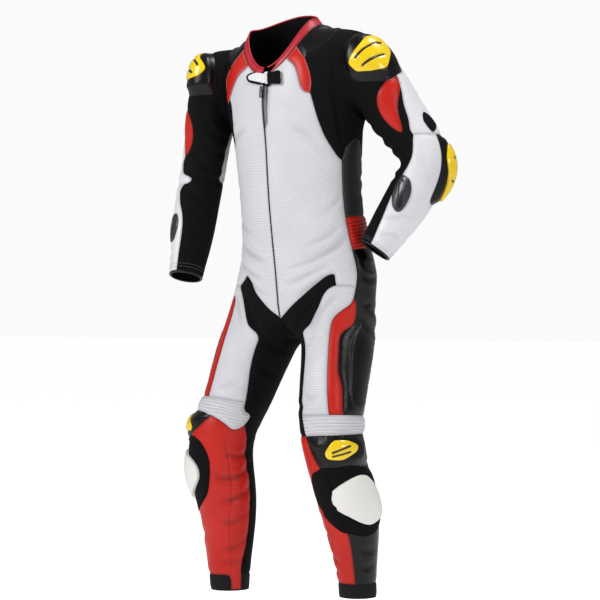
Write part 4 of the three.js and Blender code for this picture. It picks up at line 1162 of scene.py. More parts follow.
def grain_group() -> bpy.types.NodeTree:
    """The pebbled grain of leather, and its slow change of tone."""
    tree, g, given, result = new_group("leather grain", {"Scale": 620.0, "Blotch": 9.0},
        ("Height", "Tone"))
    place = g.node("ShaderNodeTexCoord")
    pebble = g.node("ShaderNodeTexVoronoi", feature="SMOOTH_F1")
    g.join(place.outputs["Object"], pebble.inputs["Vector"])
    g.join(given["Scale"], pebble.inputs["Scale"])
    fine = g.node("ShaderNodeTexNoise")
    g.join(place.outputs["Object"], fine.inputs["Vector"])
    g.join(g.math("MULTIPLY", given["Scale"], 0.35), fine.inputs["Scale"])
    slow = g.node("ShaderNodeTexNoise")
    g.join(place.outputs["Object"], slow.inputs["Vector"])
    g.join(given["Blotch"], slow.inputs["Scale"])
    g.join(g.math("ADD", g.math("MULTIPLY", pebble.outputs["Distance"], 0.6), fine.outputs[0]),
        result["Height"])
    g.join(g.ramp(slow.outputs[0], 0.32, 0.68, 0.0, 1.0), result["Tone"])
    return tree


def weave_group() -> bpy.types.NodeTree:
    """Fine ribs of a stretch weave across the cloth."""
    tree, g, given, result = new_group("stretch weave", {"Pitch": 0.0022}, ("Height", "Tone"))
    cloth = g.node("ShaderNodeUVMap", uv_map="cloth")
    place = g.node("ShaderNodeSeparateXYZ")
    g.join(cloth.outputs[0], place.inputs[0])
    turn = g.math("DIVIDE", FULL_TURN, given["Pitch"])
    down = g.math("SINE", g.math("MULTIPLY", place.outputs[1], turn))
    across = g.math("SINE", g.math("MULTIPLY", place.outputs[0], g.math("MULTIPLY", turn, 1.6)))
    height = g.math("ADD", g.math("MULTIPLY", down, 0.5), g.math("MULTIPLY", across, 0.22))
    g.join(height, result["Height"])
    g.join(g.ramp(height, -0.6, 0.7, 0.0, 1.0), result["Tone"])
    return tree


class Groups:
    """The effects that several finishes share."""

    def __init__(self) -> None:
        """Builds each group once."""
        self.holes = perforation_group()
        self.grain = grain_group()
        self.weave = weave_group()


def new_material(name: str) -> tuple[bpy.types.Material, Graph, bpy.types.Node]:
    """An empty material with its surface shader.

    Args:
        name: the material's name.

    Returns:
        The material, its graph and the shader.
    """
    material = bpy.data.materials.new(name)
    material.use_nodes = True
    material.node_tree.nodes.clear()
    graph = Graph(material.node_tree)
    shader = graph.node("ShaderNodeBsdfPrincipled")
    end = graph.node("ShaderNodeOutputMaterial")
    graph.join(shader.outputs[0], end.inputs[0])
    return material, graph, shader


def place_group(g: Graph, tree: bpy.types.NodeTree, **values: float) -> bpy.types.Node:
    """Places a shared effect in a material, with its own values."""
    made = g.node("ShaderNodeGroup", node_tree=tree)
    for label, value in values.items():
        made.inputs[label].default_value = value
    return made


def bump(g: Graph, shader: bpy.types.Node, height, strength: float, distance: float,
        below=None) -> bpy.types.Node:
    """Turns a height into the way that the surface faces."""
    made = g.node("ShaderNodeBump")
    made.inputs["Strength"].default_value = strength
    made.inputs["Distance"].default_value = distance
    g.join(height, made.inputs["Height"])
    if below is not None:
        g.join(below.outputs[0], made.inputs["Normal"])
    g.join(made.outputs[0], shader.inputs["Normal"])
    return made


@dataclass(frozen=True)
class Leather:
    """Leather: its colour, the darker colour that painted shade in seams and folds and its grain's tone
    draw it towards, its gloss, and holes if it is punched.
    """

    name: str
    colour: tuple
    deep: tuple
    rough: float
    grain: float = 0.35
    pitch: float = 0.0
    hole: tuple = (0.1, 0.1, 0.11, 1)
    radius: float = 0.2
    specular: float = 0.5

    def material(self, groups: Groups) -> bpy.types.Material:
        """The leather as a Blender material."""
        made, g, shader = new_material(self.name)
        grain = place_group(g, groups.grain)
        # Painted shade: the seam_shade attribute darkens the colour towards the deep colour beside the
        # seams and in the troughs of creases; the grain's slow tone also darkens it at random.
        shade = g.node("ShaderNodeAttribute", attribute_name="seam_shade")
        shade_and_tone = g.math("MAXIMUM", g.math("MULTIPLY", shade.outputs["Fac"], 0.75),
            g.math("MULTIPLY", grain.outputs["Tone"], 0.16))
        colour = g.mix(shade_and_tone, self.colour, self.deep)
        pebbles = bump(g, shader, grain.outputs["Height"], self.grain, 0.0006)
        if self.pitch:
            holes = place_group(g, groups.holes, Pitch=self.pitch, Radius=self.radius)
            colour = g.mix(holes.outputs["Hole"], colour, self.hole)
            bump(g, shader, holes.outputs["Height"], 0.5, 0.0008, pebbles)
        g.join(colour, shader.inputs["Base Color"])
        g.join(g.ramp(grain.outputs["Tone"], 0.0, 1.0, self.rough - 0.06, self.rough + 0.08),
            shader.inputs["Roughness"])
        shader.inputs["Specular IOR Level"].default_value = self.specular
        return made


@dataclass(frozen=True)
class Stretch:
    """Matt stretch cloth with a fine ribbed weave."""

    name: str
    colour: tuple
    high: tuple
    pitch: float = 0.0022
    rough: float = 0.92

    def material(self, groups: Groups) -> bpy.types.Material:
        """The cloth as a Blender material."""
        made, g, shader = new_material(self.name)
        weave = place_group(g, groups.weave, Pitch=self.pitch)
        g.join(g.mix(weave.outputs["Tone"], self.colour, self.high), shader.inputs["Base Color"])
        g.join(g.ramp(weave.outputs["Tone"], 0.0, 1.0, self.rough, self.rough - 0.1),
            shader.inputs["Roughness"])
        bump(g, shader, weave.outputs["Height"], 0.5, 0.0005)
        shader.inputs["Specular IOR Level"].default_value = 0.18
        return made


@dataclass(frozen=True)
class Moulded:
    """Moulded plastic or metal: its colour, the colour of its recesses, its gloss."""

    name: str
    colour: tuple
    recess: tuple
    rough: float
    metallic: float = 0.0
    coat: float = 0.0

    def material(self, groups: Groups) -> bpy.types.Material:
        """The plastic as a Blender material."""
        made, g, shader = new_material(self.name)
        grain = place_group(g, groups.grain, Scale=260.0, Blotch=30.0)
        cut = g.node("ShaderNodeAttribute", attribute_name="recess")
        g.join(g.mix(cut.outputs["Fac"], self.colour, self.recess), shader.inputs["Base Color"])
        g.join(g.ramp(grain.outputs["Tone"], 0.0, 1.0, self.rough, self.rough + 0.1),
            shader.inputs["Roughness"])
        bump(g, shader, grain.outputs["Height"], 0.06, 0.0004)
        shader.inputs["Metallic"].default_value = self.metallic
        shader.inputs["Coat Weight"].default_value = self.coat
        return made


WHITE = Leather("white_punched_leather", srgb(228, 228, 233), srgb(178, 178, 187), 0.5, 0.3, 0.0046,
    srgb(150, 150, 156), 0.21)
WHITE_PLAIN = Leather("white_leather", srgb(230, 230, 234), srgb(180, 180, 188), 0.42, 0.35)
RED = Leather("red_leather", srgb(202, 28, 14), srgb(116, 12, 8), 0.42, 0.45, specular=0.35)
COLLAR_RED = Leather("crimson_leather", srgb(190, 24, 46), srgb(120, 10, 24), 0.42, 0.3)
BLACK = Leather("black_leather", srgb(9, 9, 11), srgb(3, 3, 4), 0.27, 0.7, specular=0.3)
GREY = Leather("dark_punched_leather", srgb(20, 19, 19), srgb(9, 9, 9), 0.55, 0.5, 0.005,
    srgb(6, 6, 6), 0.24)
CLOTH = Stretch("black_stretch_cloth", srgb(4, 3, 4), srgb(10, 9, 10))
LINING = Stretch("black_lining_cloth", srgb(8, 8, 9), srgb(14, 14, 15), 0.0035)
HEM = Stretch("black_hem_cloth", srgb(14, 14, 16), srgb(28, 28, 30), 0.003, 0.75)
# Painted shade: the zip tape is grey to stand for the shaded inside of the placket, where the front
# opens beside the zip.
TAPE_AND_PLACKET_SHADE = Stretch("grey_zip_tape", srgb(112, 112, 117), srgb(146, 146, 150), 0.0016, 0.8)
YELLOW = Moulded("yellow_plastic", srgb(250, 212, 6), srgb(10, 10, 10), 0.16, coat=0.5)
PUCK = Moulded("white_plastic", srgb(236, 235, 230), srgb(60, 60, 62), 0.28, coat=0.25)
VENT_DARK = Moulded("dark_plastic", srgb(44, 46, 52), srgb(7, 7, 8), 0.28, coat=0.2)
ZIP_BLACK = Moulded("black_zip_plastic", srgb(24, 24, 26), srgb(6, 6, 6), 0.35)
METAL = Moulded("slider_metal", srgb(176, 178, 182), srgb(60, 60, 62), 0.28, metallic=1.0)


class Thread(Enum):
    """The threads of the topstitching."""

    PALE = Stretch("pale_thread", srgb(205, 205, 210), srgb(232, 232, 236), 0.0006, 0.7)
    RED = Stretch("red_thread", srgb(150, 30, 30), srgb(196, 66, 60), 0.0006, 0.7)
    BLACK = Stretch("black_thread", srgb(30, 30, 33), srgb(58, 58, 62), 0.0006, 0.7)
    GREY = Stretch("grey_thread", srgb(104, 104, 108), srgb(150, 150, 154), 0.0006, 0.7)


OPEN_GAP = "open_gap"


@dataclass(frozen=True)
class PanelKind:
    """What a piece of the skin is made of and how it stands."""

    finish: Leather | Stretch
    slot: str
    puff: Puff
    thread: Thread
    ribs: float = 0.0
    rib_height: float = 0.0
    rib_slant: float = 0.0


PANELS = {
    OPEN_GAP: PanelKind(CLOTH, "", Puff(1.0, 12), Thread.BLACK),
    "collar": PanelKind(COLLAR_RED, "red_leather", Puff(1.6, 12), Thread.RED),
    "front": PanelKind(WHITE, "white_leather", Puff(1.4, 16), Thread.PALE),
    "yoke": PanelKind(RED, "red_leather", Puff(1.6, 14), Thread.PALE),
    "shoulder": PanelKind(BLACK, "black_leather", Puff(1.4, 16), Thread.BLACK),
    "chest_side": PanelKind(CLOTH, "black_leather", Puff(0.8, 12), Thread.BLACK),
    "side_panel": PanelKind(GREY, "grey_leather", Puff(1.2, 14), Thread.GREY),
    "back_centre": PanelKind(WHITE, "white_leather", Puff(1.4, 16), Thread.PALE),
    "lumbar_ribs": PanelKind(RED, "red_leather", Puff(2.4, 10), Thread.RED, 9.5, 3.0, 0.14),
    "sleeve_stretch": PanelKind(CLOTH, "stretch_fabric", Puff(0.8, 12), Thread.BLACK),
    "sleeve_red": PanelKind(RED, "red_leather", Puff(2.2, 16), Thread.RED),
    "sleeve_white": PanelKind(WHITE_PLAIN, "white_leather", Puff(1.6, 14), Thread.PALE),
    "forearm_white": PanelKind(WHITE_PLAIN, "white_leather", Puff(1.6, 14), Thread.PALE),
    "shoulder_cup": PanelKind(BLACK, "black_leather", Puff(7.0, 24), Thread.BLACK),
    "elbow_cup": PanelKind(BLACK, "black_leather", Puff(10.0, 20), Thread.BLACK),
    "thigh_front": PanelKind(WHITE, "white_leather", Puff(1.6, 16), Thread.PALE),
    "thigh_red": PanelKind(RED, "red_leather", Puff(1.8, 14), Thread.RED),
    "thigh_outer": PanelKind(BLACK, "black_leather", Puff(1.6, 14), Thread.BLACK),
    "leg_back": PanelKind(WHITE, "white_leather", Puff(1.6, 16), Thread.PALE),
    "inner_stretch": PanelKind(CLOTH, "stretch_fabric", Puff(0.9, 12), Thread.BLACK),
    "knee_ribs": PanelKind(WHITE, "white_leather", Puff(3.6, 12), Thread.PALE, 8.0, 2.4),
    "knee_cup": PanelKind(BLACK, "black_leather", Puff(7.5, 26), Thread.BLACK),
    "shin_red": PanelKind(RED, "red_leather", Puff(1.8, 16), Thread.RED),
    "shin_outer": PanelKind(BLACK, "black_leather", Puff(1.6, 16), Thread.BLACK),
    "ankle_hem": PanelKind(HEM, "stretch_fabric", Puff(0.8, 8), Thread.BLACK),
}


def kind_of(node: str) -> PanelKind:
    """The kind of a node's piece."""
    return PANELS[node if node in PANELS else node.rsplit("_", 1)[0]]


class Workshop:
    """Makes Blender objects and keeps each finish's material once."""

    def __init__(self) -> None:
        """Builds the shared effects."""
        self.groups = Groups()
        self.made: dict[str, bpy.types.Material] = {}

    def material(self, finish) -> bpy.types.Material:
        """The material of a finish."""
        if finish.name not in self.made:
            self.made[finish.name] = finish.material(self.groups)
        return self.made[finish.name]

    def piece(self, name: str, points, faces: list, finishes: tuple, body: str = SUIT,
            smooth: float = 40) -> bpy.types.Object:
        """A mesh object that rides on a body.

        Args:
            name: the piece's name.
            points: its points in metres.
            faces: its faces as lists of point numbers.
            finishes: its finishes, the first for every face until told otherwise.
            body: the body that carries it.
            smooth: edges sharper than this many degrees stay sharp.

        Returns:
            The object.
        """
        mesh = bpy.data.meshes.new(name)
        mesh.from_pydata(np.asarray(points, float).tolist(), [], [list(map(int, f)) for f in faces])
        for finish in finishes:
            mesh.materials.append(self.material(finish))
        mesh.shade_smooth()
        mesh.set_sharp_from_angle(angle=math.radians(smooth))
        made = bpy.data.objects.new(name, mesh)
        bpy.context.scene.collection.objects.link(made)
        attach(made, body)
        return made


class Dresser:
    """A group of pieces that are laid on the skin."""

    def __init__(self, skin: Skin, shop: Workshop) -> None:
        """Keeps the skin and the workshop."""
        self.skin = skin
        self.shop = shop


class Panels(Dresser):
    """The sewn panels of leather and cloth."""

    RIB_STRIPS = 4
    RIB_WOBBLE = (0.25, 14)
    RIB_CREST = (0.8, 0.35)
    COLLAR_GAP = 5.0
    SMOOTH = 50
    LEAST_FILL = 0.35
    ZIP_DEPTHS = (100, 112, 190, 225)
    ZIP_GAPS = {1: (3.5, 7.0, 5.0, 1.6), -1: (3.5, 2.0, 1.6, 1.4)}

    def zip_side(self, face_numbers: np.ndarray) -> np.ndarray:
        """The side of the zip that each face lies on."""
        side = np.repeat([SIDES[c.side] for c in self.skin.cells], CELL * CELL)
        return side[face_numbers]

    def build(self) -> None:
        skin = self.skin
        zip_points = set()
        for i, cell in enumerate(skin.cells):
            if cell.part is Part.TRUNK and cell.column == 0:
                zip_points.update(skin.grid[i][:, 0].tolist())
        neighbour = {}
        for i, cell in enumerate(skin.cells):
            if cell.part is Part.TRUNK and cell.column == 0:
                for down in range(CELL + 1):
                    neighbour[
                        (int(skin.grid[i][down, 0]), SIDES[cell.side])
                    ] = int(skin.grid[i][down, 1])
        for number, node in enumerate(skin.names):
            if node.startswith(OPEN_GAP):
                continue
            self.panel(node, np.flatnonzero(skin.face_label == number), zip_points, neighbour)

    def panel(self, node: str, chosen: np.ndarray, zip_points: set, neighbour: dict) -> None:
        """One panel: its outside, its inside and the cut edge between them."""
        skin, kind = self.skin, kind_of(node)
        sides = self.zip_side(chosen)
        keys: dict[tuple[int, int], int] = {}
        outer, inner, shade = [], [], []
        faces, cloth = [], []
        for face, side, places in zip(skin.faces[chosen], sides, skin.face_cloth[chosen]):
            loop = []
            for point in face.tolist():
                key = (point, int(side) if point in zip_points else 0)
                if key not in keys:
                    keys[key] = len(outer)
                    shift = self.zip_shift(node, key, neighbour) if key[1] else 0.0
                    outer.append(skin.outer[point] + shift)
                    inner.append(skin.inner[point] + shift)
                    shade.append(skin.shade[point])
                loop.append(keys[key])
            faces.append(loop)
            cloth.append(places)
        size = self.cut_size(chosen, np.array(cloth))
        if kind.ribs:
            outer, inner, shade, faces, cloth = self.ribbed(kind, outer, inner, shade, faces, cloth)
        self.finish_panel(node, kind, np.array(outer), np.array(inner), shade, faces,
            np.array(cloth), size)

    def cut_size(self, chosen: np.ndarray, cloth: np.ndarray) -> tuple[float, float]:
        """The width of a panel's cut along its widest row, and its length down all its rows."""
        rows = defaultdict(float)
        high = defaultdict(list)
        for face, places in zip(chosen.tolist(), cloth):
            cell = self.skin.cells[face // CELL**2]
            row = (cell.part, cell.row, face % CELL**2 // CELL)
            rows[row] += np.ptp(places[:, 0])
            high[row].append(np.ptp(places[:, 1]))
        return float(max(rows.values())), float(sum(np.mean(values) for values in high.values()))

    def zip_shift(self, node: str, key: tuple[int, int], neighbour: dict) -> np.ndarray:
        """How far the edge beside the zip stands off its line."""
        skin = self.skin
        point, side = key
        beside = neighbour.get((point, side))
        if beside is None:
            return np.zeros(3)
        way = unit(skin.base[beside] - skin.base[point])
        high = skin.base[point][2] / MM
        gap = float(np.interp(-high, self.ZIP_DEPTHS, self.ZIP_GAPS[side]))
        return way * (self.COLLAR_GAP if node == "collar" else gap) * MM

    def ribbed(self, kind: PanelKind, outer, inner, shade, faces, cloth) -> tuple:
        """Cuts each face across into strips and raises them as ribs round the body.

        Args:
            kind: the panel's kind, with the pitch and height of its ribs.
            outer: the outside points.
            inner: the inside points.
            shade: the painted shade of each point, from how deep in a seam or fold it lies.
            faces: the faces.
            cloth: the cloth places of each face's corners.

        Returns:
            The same five, with the strips.
        """
        strips = self.RIB_STRIPS
        new_outer, new_inner, new_shade = [], [], []
        made: dict[tuple, int] = {}
        new_faces, new_cloth = [], []

        def strip_point(a: int, b: int, step: int, place: np.ndarray) -> int:
            """A point part of the way from a to b."""
            key = (a, b, step) if a < b else (b, a, strips - step)
            if step in (0, strips):
                key = (a if step == 0 else b,)
            if key not in made:
                t = step / strips
                made[key] = len(new_outer)
                wall = np.array(outer[a]) * (1 - t) + np.array(outer[b]) * t
                under = np.array(inner[a]) * (1 - t) + np.array(inner[b]) * t
                phase = (place[1] + kind.rib_slant * place[0]) / (kind.ribs * MM)
                wobble = self.RIB_WOBBLE[0] * noise.noise(Vector(wall) * self.RIB_WOBBLE[1])
                crest = abs(math.sin(math.pi * (phase + wobble)))
                seam = (shade[a] * (1 - t) + shade[b] * t)
                power, foot = self.RIB_CREST
                lift = kind.rib_height * MM * (crest**power - foot) * (1 - seam)
                new_outer.append(wall + unit(wall - under) * lift)
                new_inner.append(under)
                # Painted shade: the troughs between the ribs are darkened as well as the seams.
                new_shade.append(max(seam, (1 - crest) ** 2))
            return made[key]

        for loop, places in zip(faces, cloth):
            downward = abs(places[1][1] - places[0][1]) > abs(places[3][1] - places[0][1])
            order = [0, 1, 2, 3] if downward else [1, 2, 3, 0]
            a, b, c, d = (loop[k] for k in order)
            pa, pb, pc, pd = (places[k] for k in order)
            for s in range(strips):
                t0, t1 = s / strips, (s + 1) / strips
                qa, qb = pa * (1 - t0) + pb * t0, pa * (1 - t1) + pb * t1
                qd, qc = pd * (1 - t0) + pc * t0, pd * (1 - t1) + pc * t1
                new_faces.append([
                    strip_point(a, b, s, qa),
                    strip_point(a, b, s + 1, qb),
                    strip_point(d, c, s + 1, qc),
                    strip_point(d, c, s, qd),
                ])
                new_cloth.append([qa, qb, qc, qd])
        return new_outer, new_inner, new_shade, new_faces, new_cloth

    def finish_panel(self, node: str, kind: PanelKind, outer, inner, shade, faces, cloth,
            size) -> None:
        count = len(outer)
        f = np.array(faces)
        edges = np.concatenate([f[:, [k, (k + 1) % 4]] for k in range(4)])
        known = set(map(tuple, edges.tolist()))
        rim = [(a, b) for a, b in known if (b, a) not in known]
        rim.sort()
        where = {}
        for loop, places in zip(f.tolist(), cloth):
            for point, place in zip(loop, places):
                where[point] = place
        points = np.concatenate([outer, inner])
        loops = f.tolist() + (f[:, ::-1] + count).tolist() + [
            [b, a, a + count, b + count] for a, b in rim
        ]
        made = self.shop.piece(f"{node}_panel", points, loops, (kind.finish, LINING),
            smooth=self.SMOOTH)
        mesh = made.data
        linings = np.zeros(len(loops), np.int32)
        linings[len(f) : 2 * len(f)] = 1
        mesh.polygons.foreach_set("material_index", linings)
        layer = mesh.uv_layers.new(name="cloth")
        edge_places = [[where[b], where[a], where[a], where[b]] for a, b in rim]
        parts = [cloth, cloth[:, ::-1]]
        if edge_places:
            parts.append(np.array(edge_places))
        layer.data.foreach_set("uv", np.concatenate(parts).astype(np.float32).ravel())
        mark = mesh.attributes.new("seam_shade", "FLOAT", "POINT")
        mark.data.foreach_set("value", np.array(list(shade) * 2, np.float32))
        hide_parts(node)
        area = 0.0
        for p in (outer[f], inner[f]):
            area += np.linalg.norm(np.cross(p[:, 2] - p[:, 0], p[:, 3] - p[:, 1]), axis=1).sum() / 4
        wide, long = size
        if area < self.LEAST_FILL * wide * long:
            wide = area / (0.5 * long)
        area = float(min(area, wide * long))
        LOG.info("%s: %d faces, cut %.0f by %.0f mm", node, len(loops), wide / MM, long / MM)


@dataclass(frozen=True)
class Moulding:
    """A moulded piece on the skin.

    outline: rows and columns round its edge. wall: the height of its side. rise: how far its middle
    stands over that. bevel: the radius of its edge. lift: how far its underside stands off the skin.
    slots: straight recesses, each from a row and column to another, with half its width.
    """

    name: str
    part: Part
    side: str
    outline: tuple
    finish: Leather | Stretch | Moulded
    slot: str
    node: str = ""
    wall: float = 3.0
    rise: float = 3.0
    bevel: float = 2.0
    lift: float = 0.5
    slots: tuple = ()
    depth: float = 2.4


class Mouldings(Dresser):
    """Plates, vents and sliders that lie on the panels."""

    STEPS = 12
    RINGS = 22
    BEVEL_STEPS = 5
    SLOT_POINTS = 9
    SLOT_EDGE = 1.6
    SLOT_LEVEL = 0.6
    SMOOTH = 45

    def build(self, mouldings: list[Moulding]) -> None:
        """Builds every moulding."""
        for moulding in mouldings:
            self.dome(moulding)
            LOG.info("%s on the %s", moulding.name, moulding.part.name.lower())

    def place(self, m: Moulding, row: float, column: float,
            height: float) -> tuple[np.ndarray, np.ndarray]:
        """A point over the skin and the way out there."""
        normal = unit(self.skin.at(self.skin.outer_normal, m.part, m.side, row, column))
        point = self.skin.at(self.skin.outer, m.part, m.side, row, column)
        return point + normal * height * MM, normal

    def dome(self, m: Moulding) -> None:
        """One moulding: closed below, rounded at its edge and raised in its middle."""
        outline = catmull_rom(list(m.outline), self.STEPS, ring=True)
        centre = outline.mean(axis=0)
        middle = self.place(m, *centre, 0)[0]
        radius = np.mean([np.linalg.norm(self.place(m, *p, 0)[0] - middle) for p in outline]) / MM
        profile = [(1.0, m.lift), (1.0, m.lift + m.wall - m.bevel)]
        for step in range(1, self.BEVEL_STEPS + 1):
            turn = math.pi / 2 * step / self.BEVEL_STEPS
            drawn = m.bevel * (1 - math.cos(turn)) / radius
            profile.append((1 - drawn, m.lift + m.wall - m.bevel * (1 - math.sin(turn))))
        edge, top = profile[-1]
        for step in range(1, self.RINGS):
            share = 1 - step / self.RINGS
            profile.append((edge * share, top + m.rise * (1 - share**2)))
        lines = []
        steps = np.linspace(0, 1, self.SLOT_POINTS)
        level = top + m.rise * self.SLOT_LEVEL
        for r0, c0, r1, c1, _ in m.slots:
            spots = [(r0 + (r1 - r0) * t, c0 + (c1 - c0) * t) for t in steps]
            lines.append([self.place(m, row, column, level)[0] for row, column in spots])
        points, recess = [], []

        def add(row: float, column: float, height: float, cut: bool) -> None:
            """Adds a point, pressed in where it lies in a slot."""
            point, normal = self.place(m, row, column, height)
            depth = self.slot_depth(m, point, lines) if cut else 0.0
            points.append(point - normal * depth * m.depth * MM)
            recess.append(depth)

        for index, (share, height) in enumerate(profile):
            for p in outline:
                add(*(centre + (p - centre) * share), height, index > self.BEVEL_STEPS)
        add(*centre, top + m.rise, True)
        add(*centre, m.lift, False)
        count = len(outline)
        last = len(points) - 2
        faces = []
        for ring in range(len(profile) - 1):
            for k in range(count):
                n = (k + 1) % count
                here, above = ring * count, (ring + 1) * count
                faces.append([here + k, here + n, above + n, above + k])
        crown = (len(profile) - 1) * count
        for k in range(count):
            n = (k + 1) % count
            faces.append([crown + k, crown + n, last])
            faces.append([n, k, last + 1])
        self.make(m, np.array(points), faces, recess)

    def slot_depth(self, m: Moulding, point: np.ndarray, lines: list) -> float:
        """How deep in a slot a point lies, from 0 to 1."""
        deepest = 0.0
        for line, spec in zip(lines, m.slots):
            for a, b in zip(line[:-1], line[1:]):
                step = b - a
                t = np.clip((point - a) @ step / (step @ step), 0, 1)
                away = np.linalg.norm(point - a - t * step) / MM
                depth = float(np.clip((spec[4] - away) / self.SLOT_EDGE + 0.5, 0, 1))
                deepest = max(deepest, depth)
        return deepest

    def make(self, m: Moulding, points: np.ndarray, faces: list, recess: list) -> None:
        """Makes the object, its faces turned outwards."""
        p, f = points, faces[len(faces) // 2]
        way = np.cross(p[f[1]] - p[f[0]], p[f[2]] - p[f[1]])
        out = p[len(points) - 2] - p[len(points) - 1]
        if way @ out < 0:
            faces = [face[::-1] for face in faces]
        made = self.shop.piece(m.name, points, faces, (m.finish,), smooth=self.SMOOTH)
        mark = made.data.attributes.new("recess", "FLOAT", "POINT")
        mark.data.foreach_set("value", np.array(recess, np.float32))
        shade = made.data.attributes.new("seam_shade", "FLOAT", "POINT")
        shade.data.foreach_set("value", np.zeros(len(points), np.float32))
        layer = made.data.uv_layers.new(name="cloth")
        corner = [(points[i][0], points[i][2]) for face in faces for i in face]
        layer.data.foreach_set("uv", np.array(corner, np.float32).ravel())
        if m.node:
            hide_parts(m.node)


def swept(path: np.ndarray, ways: np.ndarray, radius: float, ring: bool,
        sides: int = 10) -> tuple[np.ndarray, list]:
    """A round cord along a path.

    Args:
        path: the points of its middle.
        ways: a direction across the path at each point.
        radius: its radius in metres.
        ring: whether it closes on itself.
        sides: points round it.

    Returns:
        Its points and faces.
    """
    after = np.roll(path, -1, axis=0)
    before = np.roll(path, 1, axis=0)
    if not ring:
        after[-1], before[0] = path[-1], path[0]
    along = unit(after - before)
    first = unit(ways - along * np.sum(ways * along, axis=1, keepdims=True))
    second = np.cross(along, first)
    turn = np.arange(sides) / sides * 2 * math.pi
    circle = (np.cos(turn)[None, :, None] * first[:, None]
        + np.sin(turn)[None, :, None] * second[:, None])
    points = (path[:, None] + circle * radius).reshape(-1, 3)
    faces = []
    count = len(path)
    for i in range(count if ring else count - 1):
        j = (i + 1) % count
        for k in range(sides):
            n = (k + 1) % sides
            faces.append([i * sides + k, i * sides + n, j * sides + n, j * sides + k])
    if not ring:
        faces.append(list(range(sides))[::-1])
        faces.append([(count - 1) * sides + k for k in range(sides)])
    return points, faces


class Edges(Dresser):
    """Bound edges at the cuffs, hems and collar."""

    CUFF_RADIUS = 3.0
    HEM_RADIUS = 2.0
    COLLAR_RADIUS = 1.9
    COLLAR_POINTS = 240
    COLLAR_GAP = 0.35

    def build(self) -> None:
        """Builds every bound edge."""
        for side in SIDES:
            self.ring(f"cuff_binding_{side}", Part.SLEEVE, side, SLEEVE_END, self.CUFF_RADIUS,
                BLACK)
            self.ring(f"hem_binding_{side}", Part.LEG, side, LEG_END, self.HEM_RADIUS, HEM)
        reach = int(Column.MIDDLE) - 0.001
        columns = np.linspace(-reach, reach, self.COLLAR_POINTS)
        columns = [c for c in columns if abs(c) > self.COLLAR_GAP]
        split = next(i for i, c in enumerate(columns) if c > 0)
        order = columns[split:] + columns[:split]
        places = [(Part.TRUNK, "left", 0, c) for c in order]
        self.cord("collar_binding", places, self.COLLAR_RADIUS, COLLAR_RED, False)

    def ring(self, name: str, part: Part, side: str, row: int, radius: float, finish) -> None:
        """A bound edge all round a tube's end."""
        places = [(part, side, row, c) for c in np.arange(part.value * CELL) / CELL]
        self.cord(name, places, radius, finish, True)

    def cord(self, name: str, places: list, radius: float, finish, closed: bool) -> None:
        """A bound edge through places on the skin."""
        skin = self.skin
        outer = np.array([skin.at(skin.outer, *p) for p in places])
        inner = np.array([skin.at(skin.inner, *p) for p in places])
        points, faces = swept((outer + inner) / 2, outer - inner, radius * MM, closed)
        made = self.shop.piece(name, points, faces, (finish,))
        add_plain_marks(made)
        LOG.info("%s, %.0f mm round", name, radius)


def add_plain_marks(made: bpy.types.Object) -> None:
    """Gives a small piece a cloth map and no seam shading."""
    mesh = made.data
    mesh.attributes.new("seam_shade", "FLOAT", "POINT")
    mesh.attributes.new("recess", "FLOAT", "POINT")
    places = np.zeros(len(mesh.vertices) * 3, np.float32)
    mesh.vertices.foreach_get("co", places)
    corners = np.zeros(len(mesh.loops), np.int32)
    mesh.loops.foreach_get("vertex_index", corners)
    layer = mesh.uv_layers.new(name="cloth")
    flat = places.reshape(-1, 3)[corners][:, [0, 2]]
    layer.data.foreach_set("uv", flat.astype(np.float32).ravel())


